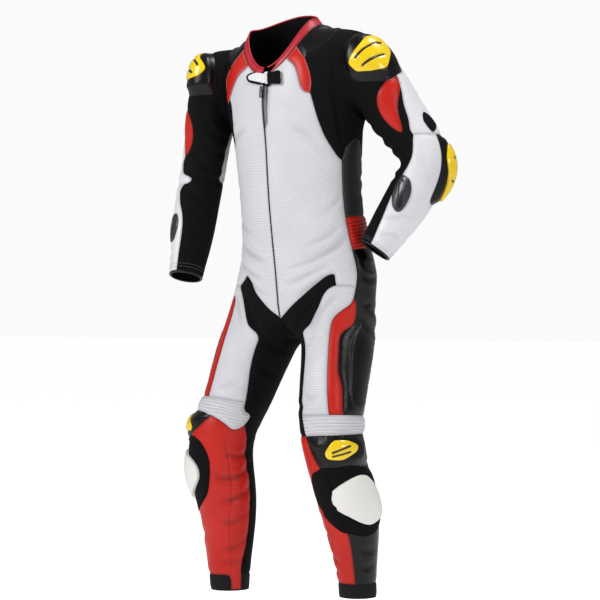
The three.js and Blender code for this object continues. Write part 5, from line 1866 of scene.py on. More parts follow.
class Stitching(Dresser):
    """Rows of small stitches on the leather beside the seams."""

    PITCH = 3.8 * MM
    LONG = 2.7 * MM
    RADIUS = 0.42 * MM
    AWAY = 3.2 * MM
    SIDES = 5
    CUFF_ROWS = (13.55, 13.72)
    SHORTEST = 6
    SINK = 0.35
    END = 0.5
    SHOULDER = 0.34

    def __init__(self, skin: Skin, shop: Workshop) -> None:
        """Keeps the skin, the workshop and a tree of the outer surface."""
        super().__init__(skin, shop)
        self.tree = BVHTree.FromPolygons(skin.outer.tolist(), skin.faces.tolist())
        self.rows: dict[Thread, list] = defaultdict(list)

    def build(self) -> None:
        """Sews the seams and the cuffs, then makes one piece for each thread."""
        for labels, chain in self.chains():
            for label in labels:
                kind = kind_of(self.skin.names[label])
                if kind.finish not in (CLOTH, HEM):
                    self.sew(chain, label, kind.thread)
        for side in SIDES:
            for row in self.CUFF_ROWS:
                columns = np.arange(Part.SLEEVE.value * CELL + 1) / CELL
                line = [self.skin.at(self.skin.base, Part.SLEEVE, side, row, c) for c in columns]
                self.sew_line(np.array(line), Thread.GREY)
        for part, side, line, thread in SEWN_LINES:
            self.sew_line(self.skin.line(part, side, line), thread)
        for thread, rows in self.rows.items():
            self.make(thread, rows)

    def chains(self) -> list[tuple[tuple, np.ndarray]]:
        """The seams as lines of points, each with the two pieces that it joins."""
        skin = self.skin
        links: dict[tuple, dict[int, list[int]]] = defaultdict(lambda: defaultdict(list))
        for (a, b), labels, seam in zip(skin.edges.tolist(), skin.edge_labels.tolist(), skin.seam):
            if seam and labels[0] >= 0 and labels[1] >= 0:
                pair = tuple(sorted(labels))
                links[pair][a].append(b)
                links[pair][b].append(a)
        found = []
        for pair, graph in sorted(links.items()):
            while graph:
                start = next((p for p in graph if len(graph[p]) == 1), next(iter(graph)))
                chain = [start]
                while graph.get(chain[-1]):
                    here = chain[-1]
                    there = graph[here].pop()
                    graph[there].remove(here)
                    for p in (here, there):
                        if not graph[p]:
                            del graph[p]
                    chain.append(there)
                found.append((pair, np.array(chain)))
        return found

    def sew(self, chain: np.ndarray, label: int, thread: Thread) -> None:
        """A row of stitches along one side of a seam."""
        skin = self.skin
        if len(chain) < self.SHORTEST:
            return
        line = skin.base[chain]
        middle = skin.normal[chain]
        along = unit(np.gradient(line, axis=0))
        across = np.cross(middle, along)
        ahead = self.owner(line[len(line) // 2] + across[len(line) // 2] * self.AWAY)
        sign = 1 if ahead == label else -1
        self.sew_line(line + across * self.AWAY * sign, thread, label)

    def owner(self, point: np.ndarray) -> int:
        """The piece nearest to a point."""
        return int(self.skin.face_label[self.tree.find_nearest(point)[2]])

    def sew_line(self, line: np.ndarray, thread: Thread, label: int | None = None) -> None:
        """Stitches along a line, each laid on the leather."""
        lengths = np.concatenate([[0], np.cumsum(np.linalg.norm(np.diff(line, axis=0), axis=1))])
        count = int(lengths[-1] / self.PITCH)
        for step in range(1, count):
            at = step * self.PITCH
            ends = [
                np.array([np.interp(at + half, lengths, line[:, k]) for k in range(3)])
                for half in (-self.LONG / 2, self.LONG / 2)
            ]
            near = self.tree.find_nearest(Vector((ends[0] + ends[1]) / 2))
            if near[2] is None or label is not None and self.skin.face_label[near[2]] != label:
                continue
            normal = np.array(near[1])
            middle = np.array(near[0]) + normal * self.RADIUS * self.SINK
            along = ends[1] - ends[0]
            along -= normal * along.dot(normal)
            self.rows[thread].append((middle, unit(along), normal))

    def make(self, thread: Thread, rows: list) -> None:
        """One piece of all the stitches of a thread."""
        middle, along, normal = (np.array(part) for part in zip(*rows))
        side = np.cross(along, normal)
        turn = np.arange(self.SIDES) / self.SIDES * 2 * math.pi
        template = [(-self.END, 0.0, 0.0)]
        for x in (-self.SHOULDER, self.SHOULDER):
            template += [(x, math.cos(a), math.sin(a)) for a in turn]
        template.append((self.END, 0.0, 0.0))
        t = np.array(template)
        points = middle[:, None] + along[:, None] * (t[:, 0] * self.LONG)[None, :, None]
        points = points + side[:, None] * (t[:, 1] * self.RADIUS)[None, :, None]
        points = points + normal[:, None] * (t[:, 2] * self.RADIUS)[None, :, None]
        n = self.SIDES
        shape = []
        for k in range(n):
            j = (k + 1) % n
            shape.append([0, 1 + j, 1 + k])
            shape.append([1 + k, 1 + j, 1 + n + j, 1 + n + k])
            shape.append([1 + n + k, 1 + n + j, 2 * n + 1])
        size = len(template)
        faces = [[i * size + v for v in face] for i in range(len(rows)) for face in shape]
        made = self.shop.piece(f"stitches_{thread.name.lower()}", points.reshape(-1, 3), faces,
            (thread.value,))
        add_plain_marks(made)
        LOG.info("%s: %d stitches", made.name, len(rows))


class FrontZip(Dresser):
    """The zip up the front: its tapes, teeth, slider and pull tab."""

    TOP = 2.3
    BOTTOM = 20.85
    PITCH = 2.6 * MM
    PULL_ROW = 4.1
    POINTS = 400
    BEVEL = 0.5 * MM
    TAPE_SECTION = ((-11, -0.6), (-11, 0.4), (11, 0.4), (11, -0.6))
    TOOTH_FOOT = ((-0.6, -0.9), (2.6, -0.9), (2.6, 0.9), (-0.6, 0.9))
    TOOTH_CROWN = ((-0.3, -0.6), (2.3, -0.6), (2.3, 0.6), (-0.3, 0.6))
    TOOTH_LEVELS = (0.3, 2.0)
    WEDGE = ((-4.5, -7.5), (-3, 7.5), (3, 7.5), (4.5, -7.5))
    WEDGE_LEVELS = (3.3, 7.0)
    TAB = ((-2.6, -0.9), (-4, 12), (-4, 28), (-2.6, 30), (2.6, 30), (4, 28), (4, 12), (2.6, -0.9))
    TAB_LEVELS = (8.2, 9.8)

    def __init__(self, skin: Skin, shop: Workshop) -> None:
        """Finds the zip's line over the skin, every few millimetres."""
        super().__init__(skin, shop)
        rows = np.linspace(self.TOP, self.BOTTOM, self.POINTS)
        self.rows = rows
        self.path = np.array([skin.at(skin.base, Part.TRUNK, "left", r, 0) for r in rows])
        self.out = unit(np.array([skin.at(skin.normal, Part.TRUNK, "left", r, 0) for r in rows]))
        self.along = unit(np.gradient(self.path, axis=0))
        self.across = unit(np.cross(self.out, self.along))
        lengths = np.linalg.norm(np.diff(self.path, axis=0), axis=1)
        self.length = np.concatenate([[0], np.cumsum(lengths)])

    def frame_at(self, distance: float) -> tuple:
        """The zip's point and its three ways, so far down from its top."""
        index = min(int(np.searchsorted(self.length, distance)), len(self.rows) - 1)
        return self.path[index], self.out[index], self.along[index], self.across[index]

    def build(self) -> None:
        """Builds the tapes, the teeth, the slider and the pull tab."""
        self.tapes()
        self.teeth()
        self.slider()

    def tapes(self) -> None:
        """The two woven tapes under the edges of the front, grey as painted shade where the placket
        opens beside the zip.
        """
        points = []
        for p, out, across in zip(self.path, self.out, self.across):
            points += [p + across * x * MM + out * z * MM for x, z in self.TAPE_SECTION]
        faces = []
        for i in range(len(self.path) - 1):
            for k in range(4):
                n = (k + 1) % 4
                faces.append([i * 4 + k, i * 4 + n, i * 4 + 4 + n, i * 4 + 4 + k])
        last = (len(self.path) - 1) * 4
        faces += [[3, 2, 1, 0], [last, last + 1, last + 2, last + 3]]
        made = self.shop.piece("zip_tape", points, faces, (TAPE_AND_PLACKET_SHADE,))
        add_plain_marks(made)
        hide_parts("zip")

    def teeth(self) -> None:
        """Two rows of small teeth that mesh along the middle."""
        points, faces = [], []
        low, high = self.TOOTH_LEVELS
        corners = [(x, y, low) for x, y in self.TOOTH_FOOT]
        corners += [(x, y, high) for x, y in self.TOOTH_CROWN]
        box = ((3, 2, 1, 0), (4, 5, 6, 7), (0, 1, 5, 4), (1, 2, 6, 5), (2, 3, 7, 6), (3, 0, 4, 7))
        count = int(self.length[-1] / self.PITCH)
        for step in range(count):
            for side in (-1, 1):
                p, out, along, across = self.frame_at((step + (side > 0) * 0.5) * self.PITCH)
                start = len(points)
                for x, y, z in corners:
                    points.append(p + across * side * x * MM + along * y * MM + out * z * MM)
                faces += [[start + v for v in (f if side > 0 else f[::-1])] for f in box]
        made = self.shop.piece("zip_teeth", points, faces, (ZIP_BLACK,))
        add_plain_marks(made)
        LOG.info("zip: %d pairs of teeth", count)

    def block(self, name: str, outline: tuple, levels: tuple, finish,
            body: str) -> bpy.types.Object:
        """A small flat block with rounded edges, in the frame of the slider."""
        low, high = levels
        distance = float(np.interp(self.PULL_ROW, self.rows, self.length))
        p, out, along, across = self.frame_at(distance)
        bm = bmesh.new()
        lower = [
            bm.verts.new(p + across * x * MM + along * y * MM + out * low * MM)
            for x, y in outline
        ]
        face = bm.faces.new(lower)
        raised = bmesh.ops.extrude_face_region(bm, geom=[face])
        moved = [v for v in raised["geom"] if isinstance(v, bmesh.types.BMVert)]
        bmesh.ops.translate(bm, verts=moved, vec=Vector(out * (high - low) * MM))
        edges = list(bm.edges)
        bmesh.ops.bevel(bm, geom=edges, offset=self.BEVEL, segments=3, profile=0.5, affect="EDGES")
        bmesh.ops.recalc_face_normals(bm, faces=list(bm.faces))
        points = [tuple(v.co) for v in bm.verts]
        bm.verts.index_update()
        faces = [[v.index for v in f.verts] for f in bm.faces]
        bm.free()
        made = self.shop.piece(name, points, faces, (finish,), body=body)
        add_plain_marks(made)
        return made

    def slider(self) -> None:
        """The slider and the pull tab that hangs from it."""
        made = self.block("slider_body", self.WEDGE, self.WEDGE_LEVELS, METAL, SUIT)
        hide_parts("zip_slider")
        pull = self.block("pull_tab", self.TAB, self.TAB_LEVELS, ZIP_BLACK, PULL)
        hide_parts("zip_pull")


class Studio:
    """A pale floor and backdrop, soft lights, and the camera."""

    AIM = (0.0335, 0.0218, -0.65)
    TURN = 33
    FAR = 6.5
    LENS = 156
    FLOOR = -1.47
    SURROUND = 0.27
    BACKDROP = 0.96
    REACH = 40
    SENSOR = 36
    GLOW = (0.3, 0.82)
    MOTTLE = 3.0
    LIGHTS = (
        ("key", (-1.6, -3.6, 1.6), 1.6, 99),
        ("fill", (4.4, -2.0, 0.6), 1.2, 37),
        ("top", (1.2, 0.4, 2.6), 1.2, 60),
    )

    def build(self) -> None:
        """Sets the floor, the lights and the camera."""
        floor = bpy.data.meshes.new("floor")
        reach = self.REACH
        square = ((-reach, -reach), (reach, -reach), (reach, reach), (-reach, reach))
        floor.from_pydata([(x, y, self.FLOOR) for x, y in square], [], [(0, 1, 2, 3)])
        made = bpy.data.objects.new("floor", floor)
        floor.materials.append(self.paper())
        bpy.context.scene.collection.objects.link(made)
        self.world()
        for name, place, size, power in self.LIGHTS:
            self.light(name, place, size, power)
        self.camera()

    @staticmethod
    def paper() -> bpy.types.Material:
        """Pale paper with a faint mottle."""
        material, g, shader = new_material("studio_paper")
        place = g.node("ShaderNodeTexCoord")
        mottle = g.node("ShaderNodeTexNoise")
        mottle.inputs["Scale"].default_value = Studio.MOTTLE
        g.join(place.outputs["Object"], mottle.inputs["Vector"])
        g.join(g.mix(mottle.outputs[0], srgb(244, 244, 244), srgb(238, 238, 239)),
            shader.inputs["Base Color"])
        shader.inputs["Roughness"].default_value = 0.9
        shader.inputs["Emission Color"].default_value = srgb(246, 246, 246)
        path = g.node("ShaderNodeLightPath")
        glow = g.ramp(path.outputs["Is Camera Ray"], 0.0, 1.0, *Studio.GLOW)
        g.join(glow, shader.inputs["Emission Strength"])
        return material

    @staticmethod
    def world() -> None:
        """An even white surround."""
        world = bpy.data.worlds.new("studio")
        world.use_nodes = True
        g = Graph(world.node_tree)
        path = g.node("ShaderNodeLightPath")
        seen = g.ramp(path.outputs["Is Camera Ray"], 0.0, 1.0, Studio.SURROUND, Studio.BACKDROP)
        g.join(seen, world.node_tree.nodes["Background"].inputs[1])
        world.node_tree.nodes["Background"].inputs[0].default_value = (1, 1, 1, 1)
        bpy.context.scene.world = world
        bpy.context.scene.view_settings.view_transform = "Standard"

    def light(self, name: str, place: tuple, size: float, power: float) -> None:
        """A soft square light aimed at the suit."""
        data = bpy.data.lights.new(name, "AREA")
        data.size = size
        data.energy = power
        made = bpy.data.objects.new(name, data)
        made.location = place
        made.rotation_euler = (Vector(self.AIM) - Vector(place)).to_track_quat("-Z", "Y").to_euler()
        bpy.context.scene.collection.objects.link(made)

    def camera(self) -> None:
        """The camera, level and a long way off."""
        data = bpy.data.cameras.new("camera")
        data.lens = self.LENS
        data.sensor_width = self.SENSOR
        made = bpy.data.objects.new("camera", data)
        turn = math.radians(self.TURN)
        made.location = Vector(self.AIM) + self.FAR * Vector((math.sin(turn), -math.cos(turn), 0))
        made.rotation_euler = (math.pi / 2, 0, turn)
        bpy.context.scene.collection.objects.link(made)
        bpy.context.scene.camera = made


T, S, L = Part.TRUNK, Part.SLEEVE, Part.LEG

# Seams that leave the lines of the net, as rows and columns round the area of a piece.
CUP = ((1.1, 3.6), (1.15, 1.8), (1.7, -0.3), (2.7, -1.9), (3.8, -1.6), (4.25, -0.2), (4.15, 1.5),
    (3.6, 2.9), (2.3, 4.1), (1.5, 4.2))
SEAMS = [
    Seam(S, "sleeve_stretch", ((0.6, -2), (0.6, 5), (4.4, 5), (4.4, 1), (3, -0.5), (3, -2)),
        over=("shoulder_cup",)),
    Seam(S, "sleeve_stretch", ((3.9, -0.2), (3.9, 5), (7.2, 5), (7.2, 0.5), (5, 0)),
        over=("sleeve_red",)),
    Seam(S, "sleeve_white", ((3.4, -3), (4.4, -0.6), (4.55, 0.3), (5.1, 1.7), (6.0, 2.3),
        (6.7, 3.1), (7.3, 1.9), (7.6, -1)), over=("sleeve_stretch", "sleeve_red")),
    Seam(S, "sleeve_stretch", ((4.7, 0.9), (5.2, 1.9), (6.0, 2.5), (6.8, 3.4), (6.4, 4.4),
        (4.6, 4.2), (4.3, 2)), over=("sleeve_white", "sleeve_red")),
    Seam(S, "sleeve_red", ((4.3, 0.4), (4.1, 1.7), (4.15, 3.1), (4.4, 4.1), (5.2, 4.8), (6.0, 4.4),
        (6.5, 3.9), (5.9, 3.3), (5.2, 2.5), (4.75, 1.4)), ("left",)),
    Seam(S, "sleeve_red", ((4.9, -0.3), (4.75, 1.3), (4.9, 2.6), (5.4, 3.7), (6.0, 4.0), (6.8, 3.3),
        (7.0, 2.6), (6.4, 2.0), (5.9, 1.2), (5.4, 0.2)), ("right",)),
    Seam(S, "shoulder_cup", CUP),
    Seam(S, "sleeve_stretch", ((7.2, 3.2), (8.1, 3.9), (9.8, 5.0), (11.1, 4.4), (12.6, 3.9),
        (14.1, 3.5), (14.1, 6.5), (12, 7), (9.8, 7), (8, 7)), ("left",),
            ("forearm_white", "sleeve_white")),
    Seam(S, "forearm_white", ((6.95, 2.9), (7.9, 3.9), (8.8, 4.6), (9.8, 5.0), (10.6, 4.7),
        (11.4, 4.3), (11.4, 1), (7.4, 1)), ("left",), ("sleeve_stretch", "sleeve_white")),
    Seam(S, "sleeve_stretch", ((8.6, 3.2), (9.6, 3.5), (10.4, 4.4), (11.5, 4.7), (14.1, 4.4),
        (14.1, 6.5), (9, 6.5)), ("right",), ("forearm_white",)),
    Seam(T, "open_gap", ((-1.2, -0.5), (-1.2, 2.0), (0.0, 1.95), (1.1, 1.8), (1.4, 1.2), (1.8, 0.7),
        (2.0, -0.5)), ("left",), ("collar", "front")),
    Seam(T, "open_gap", ((-1.2, -0.5), (-1.2, 0.4), (0.2, 0.35), (1.5, 0.3), (1.8, -0.5)),
        ("right",), ("collar",)),
    Seam(T, "open_gap", ((2.6, -0.3), (2.7, 0.5), (3.9, 0.62), (5.1, 0.56), (6.1, 0.46),
        (7.1, 0.33), (8.1, 0.22), (9.2, 0.05), (9.3, -0.3)), ("left",), ("front",)),
    Seam(T, "inner_stretch", ((19.25, 4.75), (19.75, 3.2), (20.2, 1.7), (20.8, 0.5), (21.3, -0.3),
        (21.8, 2), (21.4, 4.9), (20.2, 4.85)), ("left",), ("front",)),
    Seam(T, "inner_stretch", ((18.75, 3.7), (19.2, 3.0), (19.7, 2.6), (20.2, 1.7), (20.7, 0.7),
        (21.2, -0.3), (21.8, 2), (21.3, 5.0), (20.9, 4.8), (19.7, 3.9)), ("right",), ("front",)),
    Seam(T, "chest_side", ((4.9, 4.6), (8.4, 4.4), (8.4, 7.3), (5.0, 7.3)), ("left",),
        ("yoke", "front")),
    Seam(T, "shoulder", ((1.9, 4.4), (5.0, 4.4), (5.0, 7.3), (1.9, 7.3)), ("left",), ("yoke",)),
    Seam(T, "yoke", ((1.9, 3.9), (4.0, 4.1), (6.7, 3.6), (7.35, 4.2), (6.2, 5.0), (4.7, 5.4),
        (3.0, 5.6), (1.9, 5.5)), ("left",), ("front", "shoulder", "chest_side")),
    Seam(T, "yoke", ((1.9, 4.0), (3.9, 4.3), (6.6, 4.7), (7.3, 6.0), (6.9, 7.5), (4.6, 6.9),
        (3.9, 6.8), (1.9, 6.7)), ("right",), ("front", "shoulder", "chest_side")),
    Seam(T, "front", ((7.5, 3.0), (7.4, 4.3), (8.6, 4.5), (10.2, 5.0), (11.3, 5.9), (12.0, 6.9),
        (12.4, 7.1), (12.4, 2)), ("left",), ("yoke", "chest_side")),
    Seam(T, "chest_side", ((7.4, 4.4), (8.6, 4.4), (10.2, 4.95), (11.3, 5.8), (12.15, 6.95),
        (11.5, 7.3), (9, 7.6), (7.2, 7.3), (7.0, 5.6)), ("left", "right"), ("front",)),
    Seam(T, "side_panel", ((12.15, 7.0), (11.3, 8.0), (10.9, 9.2), (11.0, 10.8), (12.4, 12),
        (12.6, 7.6)), over=("sleeve_stretch", "chest_side")),
    Seam(T, "front", ((12.1, 6.3), (13.1, 6.55), (14.3, 6.6), (15.2, 6.6), (15.2, 8), (13, 8),
        (12.0, 7.1)), (), ("side_panel",)),
    Seam(L, "shin_red", ((10.1, 2.8), (11.0, 4.9), (11.9, 7.1), (14.6, 8.0), (16.0, 8.6),
        (19.1, 8.2), (19.1, 1), (12, -1), (10.2, -1.3)), ("right",), ("knee_cup", "shin_outer")),
    Seam(L, "inner_stretch", ((9.7, 17.5), (9.9, 21.7), (10.5, 21.2), (11.4, 19.8), (12.4, 19.7),
        (14.3, 18.9), (15.3, 18.9), (17.1, 18.75), (18.3, 19.2), (19.2, 19.2), (19.2, 17.5)),
            ("right",), ("shin_red",)),
    Seam(L, "shin_red", ((18.8, 19.2), (18.8, 20.8), (19.6, 20.8), (20.4, 20.8), (20.4, 19.2)),
        ("right",), ("ankle_hem",)),
    Seam(L, "knee_ribs", ((9.6, 5.3), (9.95, 5.1), (10.2, 2.7), (10.55, 0.6), (10.8, -0.9),
        (10.4, -1.5), (9.75, -1.9), (9.5, 1)), ("right",), ("knee_cup", "shin_red",
            "inner_stretch")),
    Seam(L, "thigh_front", ((0.0, 4.7), (1.2, 7.1), (2.4, 6.1), (3.2, 5.1), (3.6, 4.6), (5.3, 4.5),
        (8.9, 4.4), (8.9, 3.5), (2.0, 3.4)), ("left",), ("thigh_red", "inner_stretch")),
    Seam(L, "thigh_red", ((1.1, 7.2), (3.4, 7.9), (4.3, 6.7), (5.9, 6.75), (7.0, 6.7), (7.4, 7.15),
        (8.9, 6.8), (8.9, 5), (3.6, 4.9), (2.2, 6.2)), ("left",), ("thigh_outer",)),
    Seam(L, "thigh_outer", ((4.4, 6.55), (5.9, 6.6), (7.0, 6.55), (7.2, 7.6), (5.8, 7.8),
        (4.4, 7.4)), ("left",), ("thigh_red",)),
]

# Sewn lines inside a piece: the seam down the front of each red shin.
SHIN_SEAM = ((10.7, 22.2), (11.4, 22.7), (12.8, 21.9), (14.4, 21.5), (16.1, 21.6), (17.6, 21.2),
    (18.9, 20.8))
SEWN_LINES = [(L, side, SHIN_SEAM, Thread.RED) for side in SIDES]

# Folds, as places down and round a tube: width and depth in millimetres. None is like its neighbour.
CREASES = [
    *(
        Crease(T, side, line, width, depth)
        for side, line, width, depth in (
            ("left", ((3.9, 0.75), (5.1, 0.7), (6.1, 0.6), (7.1, 0.45), (8.1, 0.35), (9.4, 0.25)),
                6, 1.6),
            ("left", ((17.4, 1.0), (17.2, 3.2), (16.6, 5.4), (16.1, 6.6)), 9, 3.2),
            ("left", ((18.4, 0.8), (18.3, 2.6), (17.9, 4.6)), 11, 2.6),
            ("left", ((16.2, 2.8), (15.9, 4.6), (15.4, 6.2)), 8, 2.1),
            ("left", ((19.8, 1.2), (19.5, 3.0), (19.3, 4.8)), 8, 2.6),
            ("left", ((14.6, 4.6), (14.3, 5.9), (13.8, 6.8)), 7, 1.6),
            ("right", ((16.9, 0.9), (16.6, 3.0), (16.2, 5.6)), 10, 3.0),
            ("right", ((18.1, 1.4), (18.2, 3.4), (17.8, 5.8)), 8, 2.8),
            ("right", ((15.4, 2.2), (15.2, 4.4), (14.6, 6.4)), 9, 2.2),
            ("right", ((19.4, 0.8), (19.3, 2.3), (19.0, 3.8)), 7, 2.2),
            ("right", ((13.6, 4.4), (13.2, 6.0), (12.6, 7.6)), 8, 1.7),
            ("left", ((9.2, 2.2), (10.0, 3.4), (10.9, 4.3)), 11, 1.6),
            ("right", ((8.8, 2.0), (9.9, 3.6), (10.6, 5.4)), 12, 1.8),
            ("left", ((7.2, 7.4), (8.6, 7.3), (10.2, 7.2), (11.4, 7.3)), 8, 2.4),
            ("right", ((6.6, 7.2), (8.4, 7.0), (10.6, 7.3)), 9, 2.6),
            ("left", ((13.6, 9.2), (13.9, 11.0), (13.7, 13.0)), 8, 2.2),
            ("left", ((12.8, 10.4), (13.0, 12.2), (12.7, 14.0)), 7, 1.8),
            ("right", ((13.2, 9.0), (13.5, 11.4), (13.3, 13.2)), 8, 2.3),
            ("left", ((14.4, 14.2), (14.2, 15.6), (14.4, 16.8)), 9, 2.0),
            ("right", ((13.9, 14.0), (13.6, 15.4), (13.8, 16.6)), 10, 2.2),
            ("left", ((18.2, 8.4), (18.6, 10.2), (18.4, 12.4)), 9, 2.4),
            ("left", ((19.6, 7.8), (19.9, 9.6), (19.8, 11.2)), 8, 2.0),
            ("right", ((18.4, 8.0), (18.7, 10.0), (18.5, 12.6)), 9, 2.3),
            ("left", ((20.2, 14.4), (20.0, 15.6), (20.3, 16.6)), 9, 2.6),
            ("right", ((19.8, 14.2), (19.7, 15.4), (20.1, 16.4)), 9, 2.4),
            ("left", ((3.6, 8.2), (3.9, 10.0), (3.6, 12.2)), 9, 2.0),
            ("left", ((2.8, 7.6), (3.3, 9.2), (4.4, 9.8)), 8, 1.6),
            ("right", ((3.4, 8.4), (3.8, 10.2), (3.5, 12.0)), 9, 2.1),
        )
    ),
    *(
        Crease(S, side, line, width, depth)
        for side, line, width, depth in (
            ("left", ((6.9, 4.4), (7.2, 6.4), (7.0, 8.6)), 8, 3.4),
            ("left", ((7.7, 4.6), (7.9, 6.8), (7.6, 9.2), (7.2, 10.8)), 9, 4.2),
            ("left", ((8.6, 5.2), (8.7, 7.4), (8.4, 9.6)), 8, 3.2),
            ("left", ((6.1, 5.4), (6.4, 7.2), (6.2, 9.0)), 9, 2.6),
            ("left", ((9.5, 6.2), (9.7, 7.9), (9.4, 9.8)), 7, 2.4),
            ("left", ((5.2, 5.6), (5.4, 7.8), (4.9, 9.8)), 10, 2.4),
            ("left", ((2.3, 5.2), (2.9, 6.8), (3.0, 8.4)), 10, 3.0),
            ("left", ((1.2, 5.4), (1.7, 7.0), (1.8, 8.8)), 8, 2.4),
            ("left", ((3.6, 5.4), (4.1, 7.0), (4.0, 8.6)), 8, 2.2),
            ("left", ((10.9, 0.8), (11.4, 2.4), (12.0, 3.6)), 7, 1.8),
            ("left", ((12.2, 0.2), (12.5, 1.9), (13.0, 3.0)), 6, 1.7),
            ("left", ((11.4, 13.0), (11.8, 14.6), (12.1, 16.4)), 8, 1.8),
            ("left", ((9.2, 1.0), (8.6, 2.4), (8.3, 3.4)), 7, 1.5),
            ("left", ((5.0, 13.2), (5.4, 14.8), (5.2, 16.4)), 9, 2.2),
            ("left", ((6.2, 12.6), (6.5, 14.4), (6.3, 16.2)), 8, 2.0),
            ("right", ((6.8, 4.8), (7.3, 6.6), (7.2, 8.8)), 9, 3.6),
            ("right", ((7.8, 4.4), (8.2, 6.4), (8.0, 8.6), (7.6, 10.2)), 9, 4.0),
            ("right", ((9.0, 4.4), (9.3, 6.6), (9.0, 8.8)), 8, 3.2),
            ("right", ((5.9, 5.2), (6.3, 7.2), (6.0, 9.2)), 8, 2.8),
            ("right", ((10.3, 5.4), (10.6, 7.2), (10.4, 9.2)), 8, 2.6),
            ("right", ((11.7, 5.2), (11.9, 7.0), (11.6, 8.6)), 7, 2.0),
            ("right", ((4.6, 5.0), (5.0, 6.8), (4.7, 8.6)), 10, 2.6),
            ("right", ((2.1, 4.8), (2.8, 6.4), (2.9, 8.0)), 10, 2.8),
            ("right", ((3.3, 5.2), (3.9, 6.8), (3.8, 8.4)), 8, 2.2),
            ("right", ((12.8, 5.6), (13.1, 7.2), (12.9, 8.8)), 7, 1.8),
            ("right", ((8.3, 1.2), (8.6, 2.6), (8.4, 3.6)), 8, 1.8),
            ("right", ((12.5, 0.4), (12.8, 1.8), (13.1, 3.2)), 7, 1.7),
            ("right", ((5.2, 13.4), (5.6, 15.0), (5.3, 16.6)), 9, 2.2),
            ("right", ((7.0, 12.4), (7.4, 13.6), (7.2, 14.8)), 8, 2.4),
        )
    ),
    *(Crease(L, side, SHIN_SEAM, 2.6, 1.1) for side in SIDES),
    *(
        Crease(L, side, line, width, depth)
        for side, line, width, depth in (
            ("left", ((0.6, 3.4), (1.3, 2.0), (2.2, 0.6), (2.8, -1.2)), 8, 3.0),
            ("left", ((0.9, 5.4), (1.9, 4.2), (3.0, 2.6), (3.6, 0.6)), 9, 2.4),
            ("left", ((3.2, 3.6), (4.1, 2.2), (4.8, 0.6)), 10, 1.8),
            ("left", ((7.9, 0.6), (8.2, 2.2), (8.0, 3.8)), 8, 2.0),
            ("left", ((8.4, -2.6), (8.7, -0.9), (8.5, 0.8)), 8, 2.2),
            ("left", ((2.2, 18.2), (2.9, 19.8), (3.4, 21.6)), 9, 2.6),
            ("left", ((1.2, 8.2), (1.9, 10.0), (2.1, 11.8)), 9, 2.4),
            ("left", ((2.8, 8.6), (3.6, 10.0), (3.9, 12.0)), 10, 2.0),
            ("left", ((0.9, 14.6), (1.2, 16.0), (1.9, 17.6)), 9, 2.8),
            ("left", ((9.6, 13.4), (9.8, 15.4), (9.6, 17.6)), 8, 4.0),
            ("left", ((10.5, 13.0), (10.8, 15.2), (10.6, 17.4)), 9, 4.4),
            ("left", ((11.5, 13.4), (11.8, 15.4), (11.6, 17.2)), 8, 3.2),
            ("left", ((8.4, 13.8), (8.7, 15.4), (8.5, 17.2)), 8, 2.8),
            ("left", ((12.9, 13.6), (13.2, 15.4), (12.9, 17.0)), 9, 2.2),
            ("left", ((15.4, 18.6), (15.9, 20.2), (16.5, 21.8)), 9, 2.4),
            ("left", ((16.9, 19.0), (17.3, 20.8), (17.6, 22.6)), 8, 2.6),
            ("left", ((18.0, 18.6), (18.2, 20.4), (18.4, 22.2)), 7, 2.0),
            ("left", ((16.4, 4.2), (16.8, 6.2), (16.9, 8.4)), 9, 2.2),
            ("left", ((17.6, 3.6), (17.9, 5.8), (17.8, 8.0)), 8, 2.0),
            ("left", ((13.2, 18.8), (14.0, 20.2), (14.4, 21.6)), 9, 2.2),
            ("left", ((16.2, 10.4), (16.5, 12.4), (16.3, 14.6)), 9, 2.4),
            ("left", ((17.5, 10.8), (17.7, 12.8), (17.6, 15.4)), 8, 2.2),
            ("right", ((0.5, 4.0), (1.4, 2.6), (2.4, 1.2), (3.2, -0.6)), 9, 3.2),
            ("right", ((1.0, 5.2), (2.2, 4.0), (3.4, 2.4)), 9, 2.4),
            ("right", ((4.0, -0.4), (4.6, -1.8), (5.0, -3.4)), 10, 2.2),
            ("right", ((6.3, -0.8), (6.8, -2.2), (7.1, -4.0)), 9, 2.4),
            ("right", ((7.6, 0.8), (8.1, 2.4), (8.3, 4.2)), 9, 2.0),
            ("right", ((8.3, -1.4), (8.7, -2.8), (9.0, -4.4)), 8, 2.6),
            ("right", ((1.6, 17.8), (2.4, 19.4), (3.0, 21.0)), 10, 2.6),
            ("right", ((2.2, 8.4), (2.8, 10.2), (3.0, 12.2)), 10, 2.2),
            ("right", ((9.7, 13.2), (9.9, 15.2), (9.7, 17.2)), 8, 4.2),
            ("right", ((10.7, 13.4), (11.0, 15.4), (10.8, 17.6)), 9, 4.4),
            ("right", ((11.7, 13.2), (12.0, 15.0), (11.8, 16.8)), 8, 3.0),
            ("right", ((8.6, 13.8), (8.9, 15.2), (8.7, 17.0)), 8, 2.6),
            ("right", ((12.2, 19.0), (12.6, 20.6), (12.4, 22.4)), 8, 2.8),
            ("right", ((13.2, 18.8), (13.8, 20.4), (13.9, 22.2), (13.6, 23.8)), 9, 3.0),
            ("right", ((14.5, 18.9), (15.0, 20.8), (15.1, 23.0)), 9, 2.8),
            ("right", ((15.8, 19.2), (16.2, 21.0), (16.2, 22.8)), 8, 2.4),
            ("right", ((17.0, 19.0), (17.5, 20.6), (17.6, 22.6)), 8, 2.6),
            ("right", ((18.1, 19.4), (18.3, 21.4), (18.2, 23.6)), 7, 2.0),
            ("right", ((16.6, 5.0), (17.0, 7.2), (16.9, 9.4)), 9, 2.2),
            ("right", ((16.0, 10.6), (16.4, 12.6), (16.2, 14.8)), 9, 2.2),
        )
    ),
]

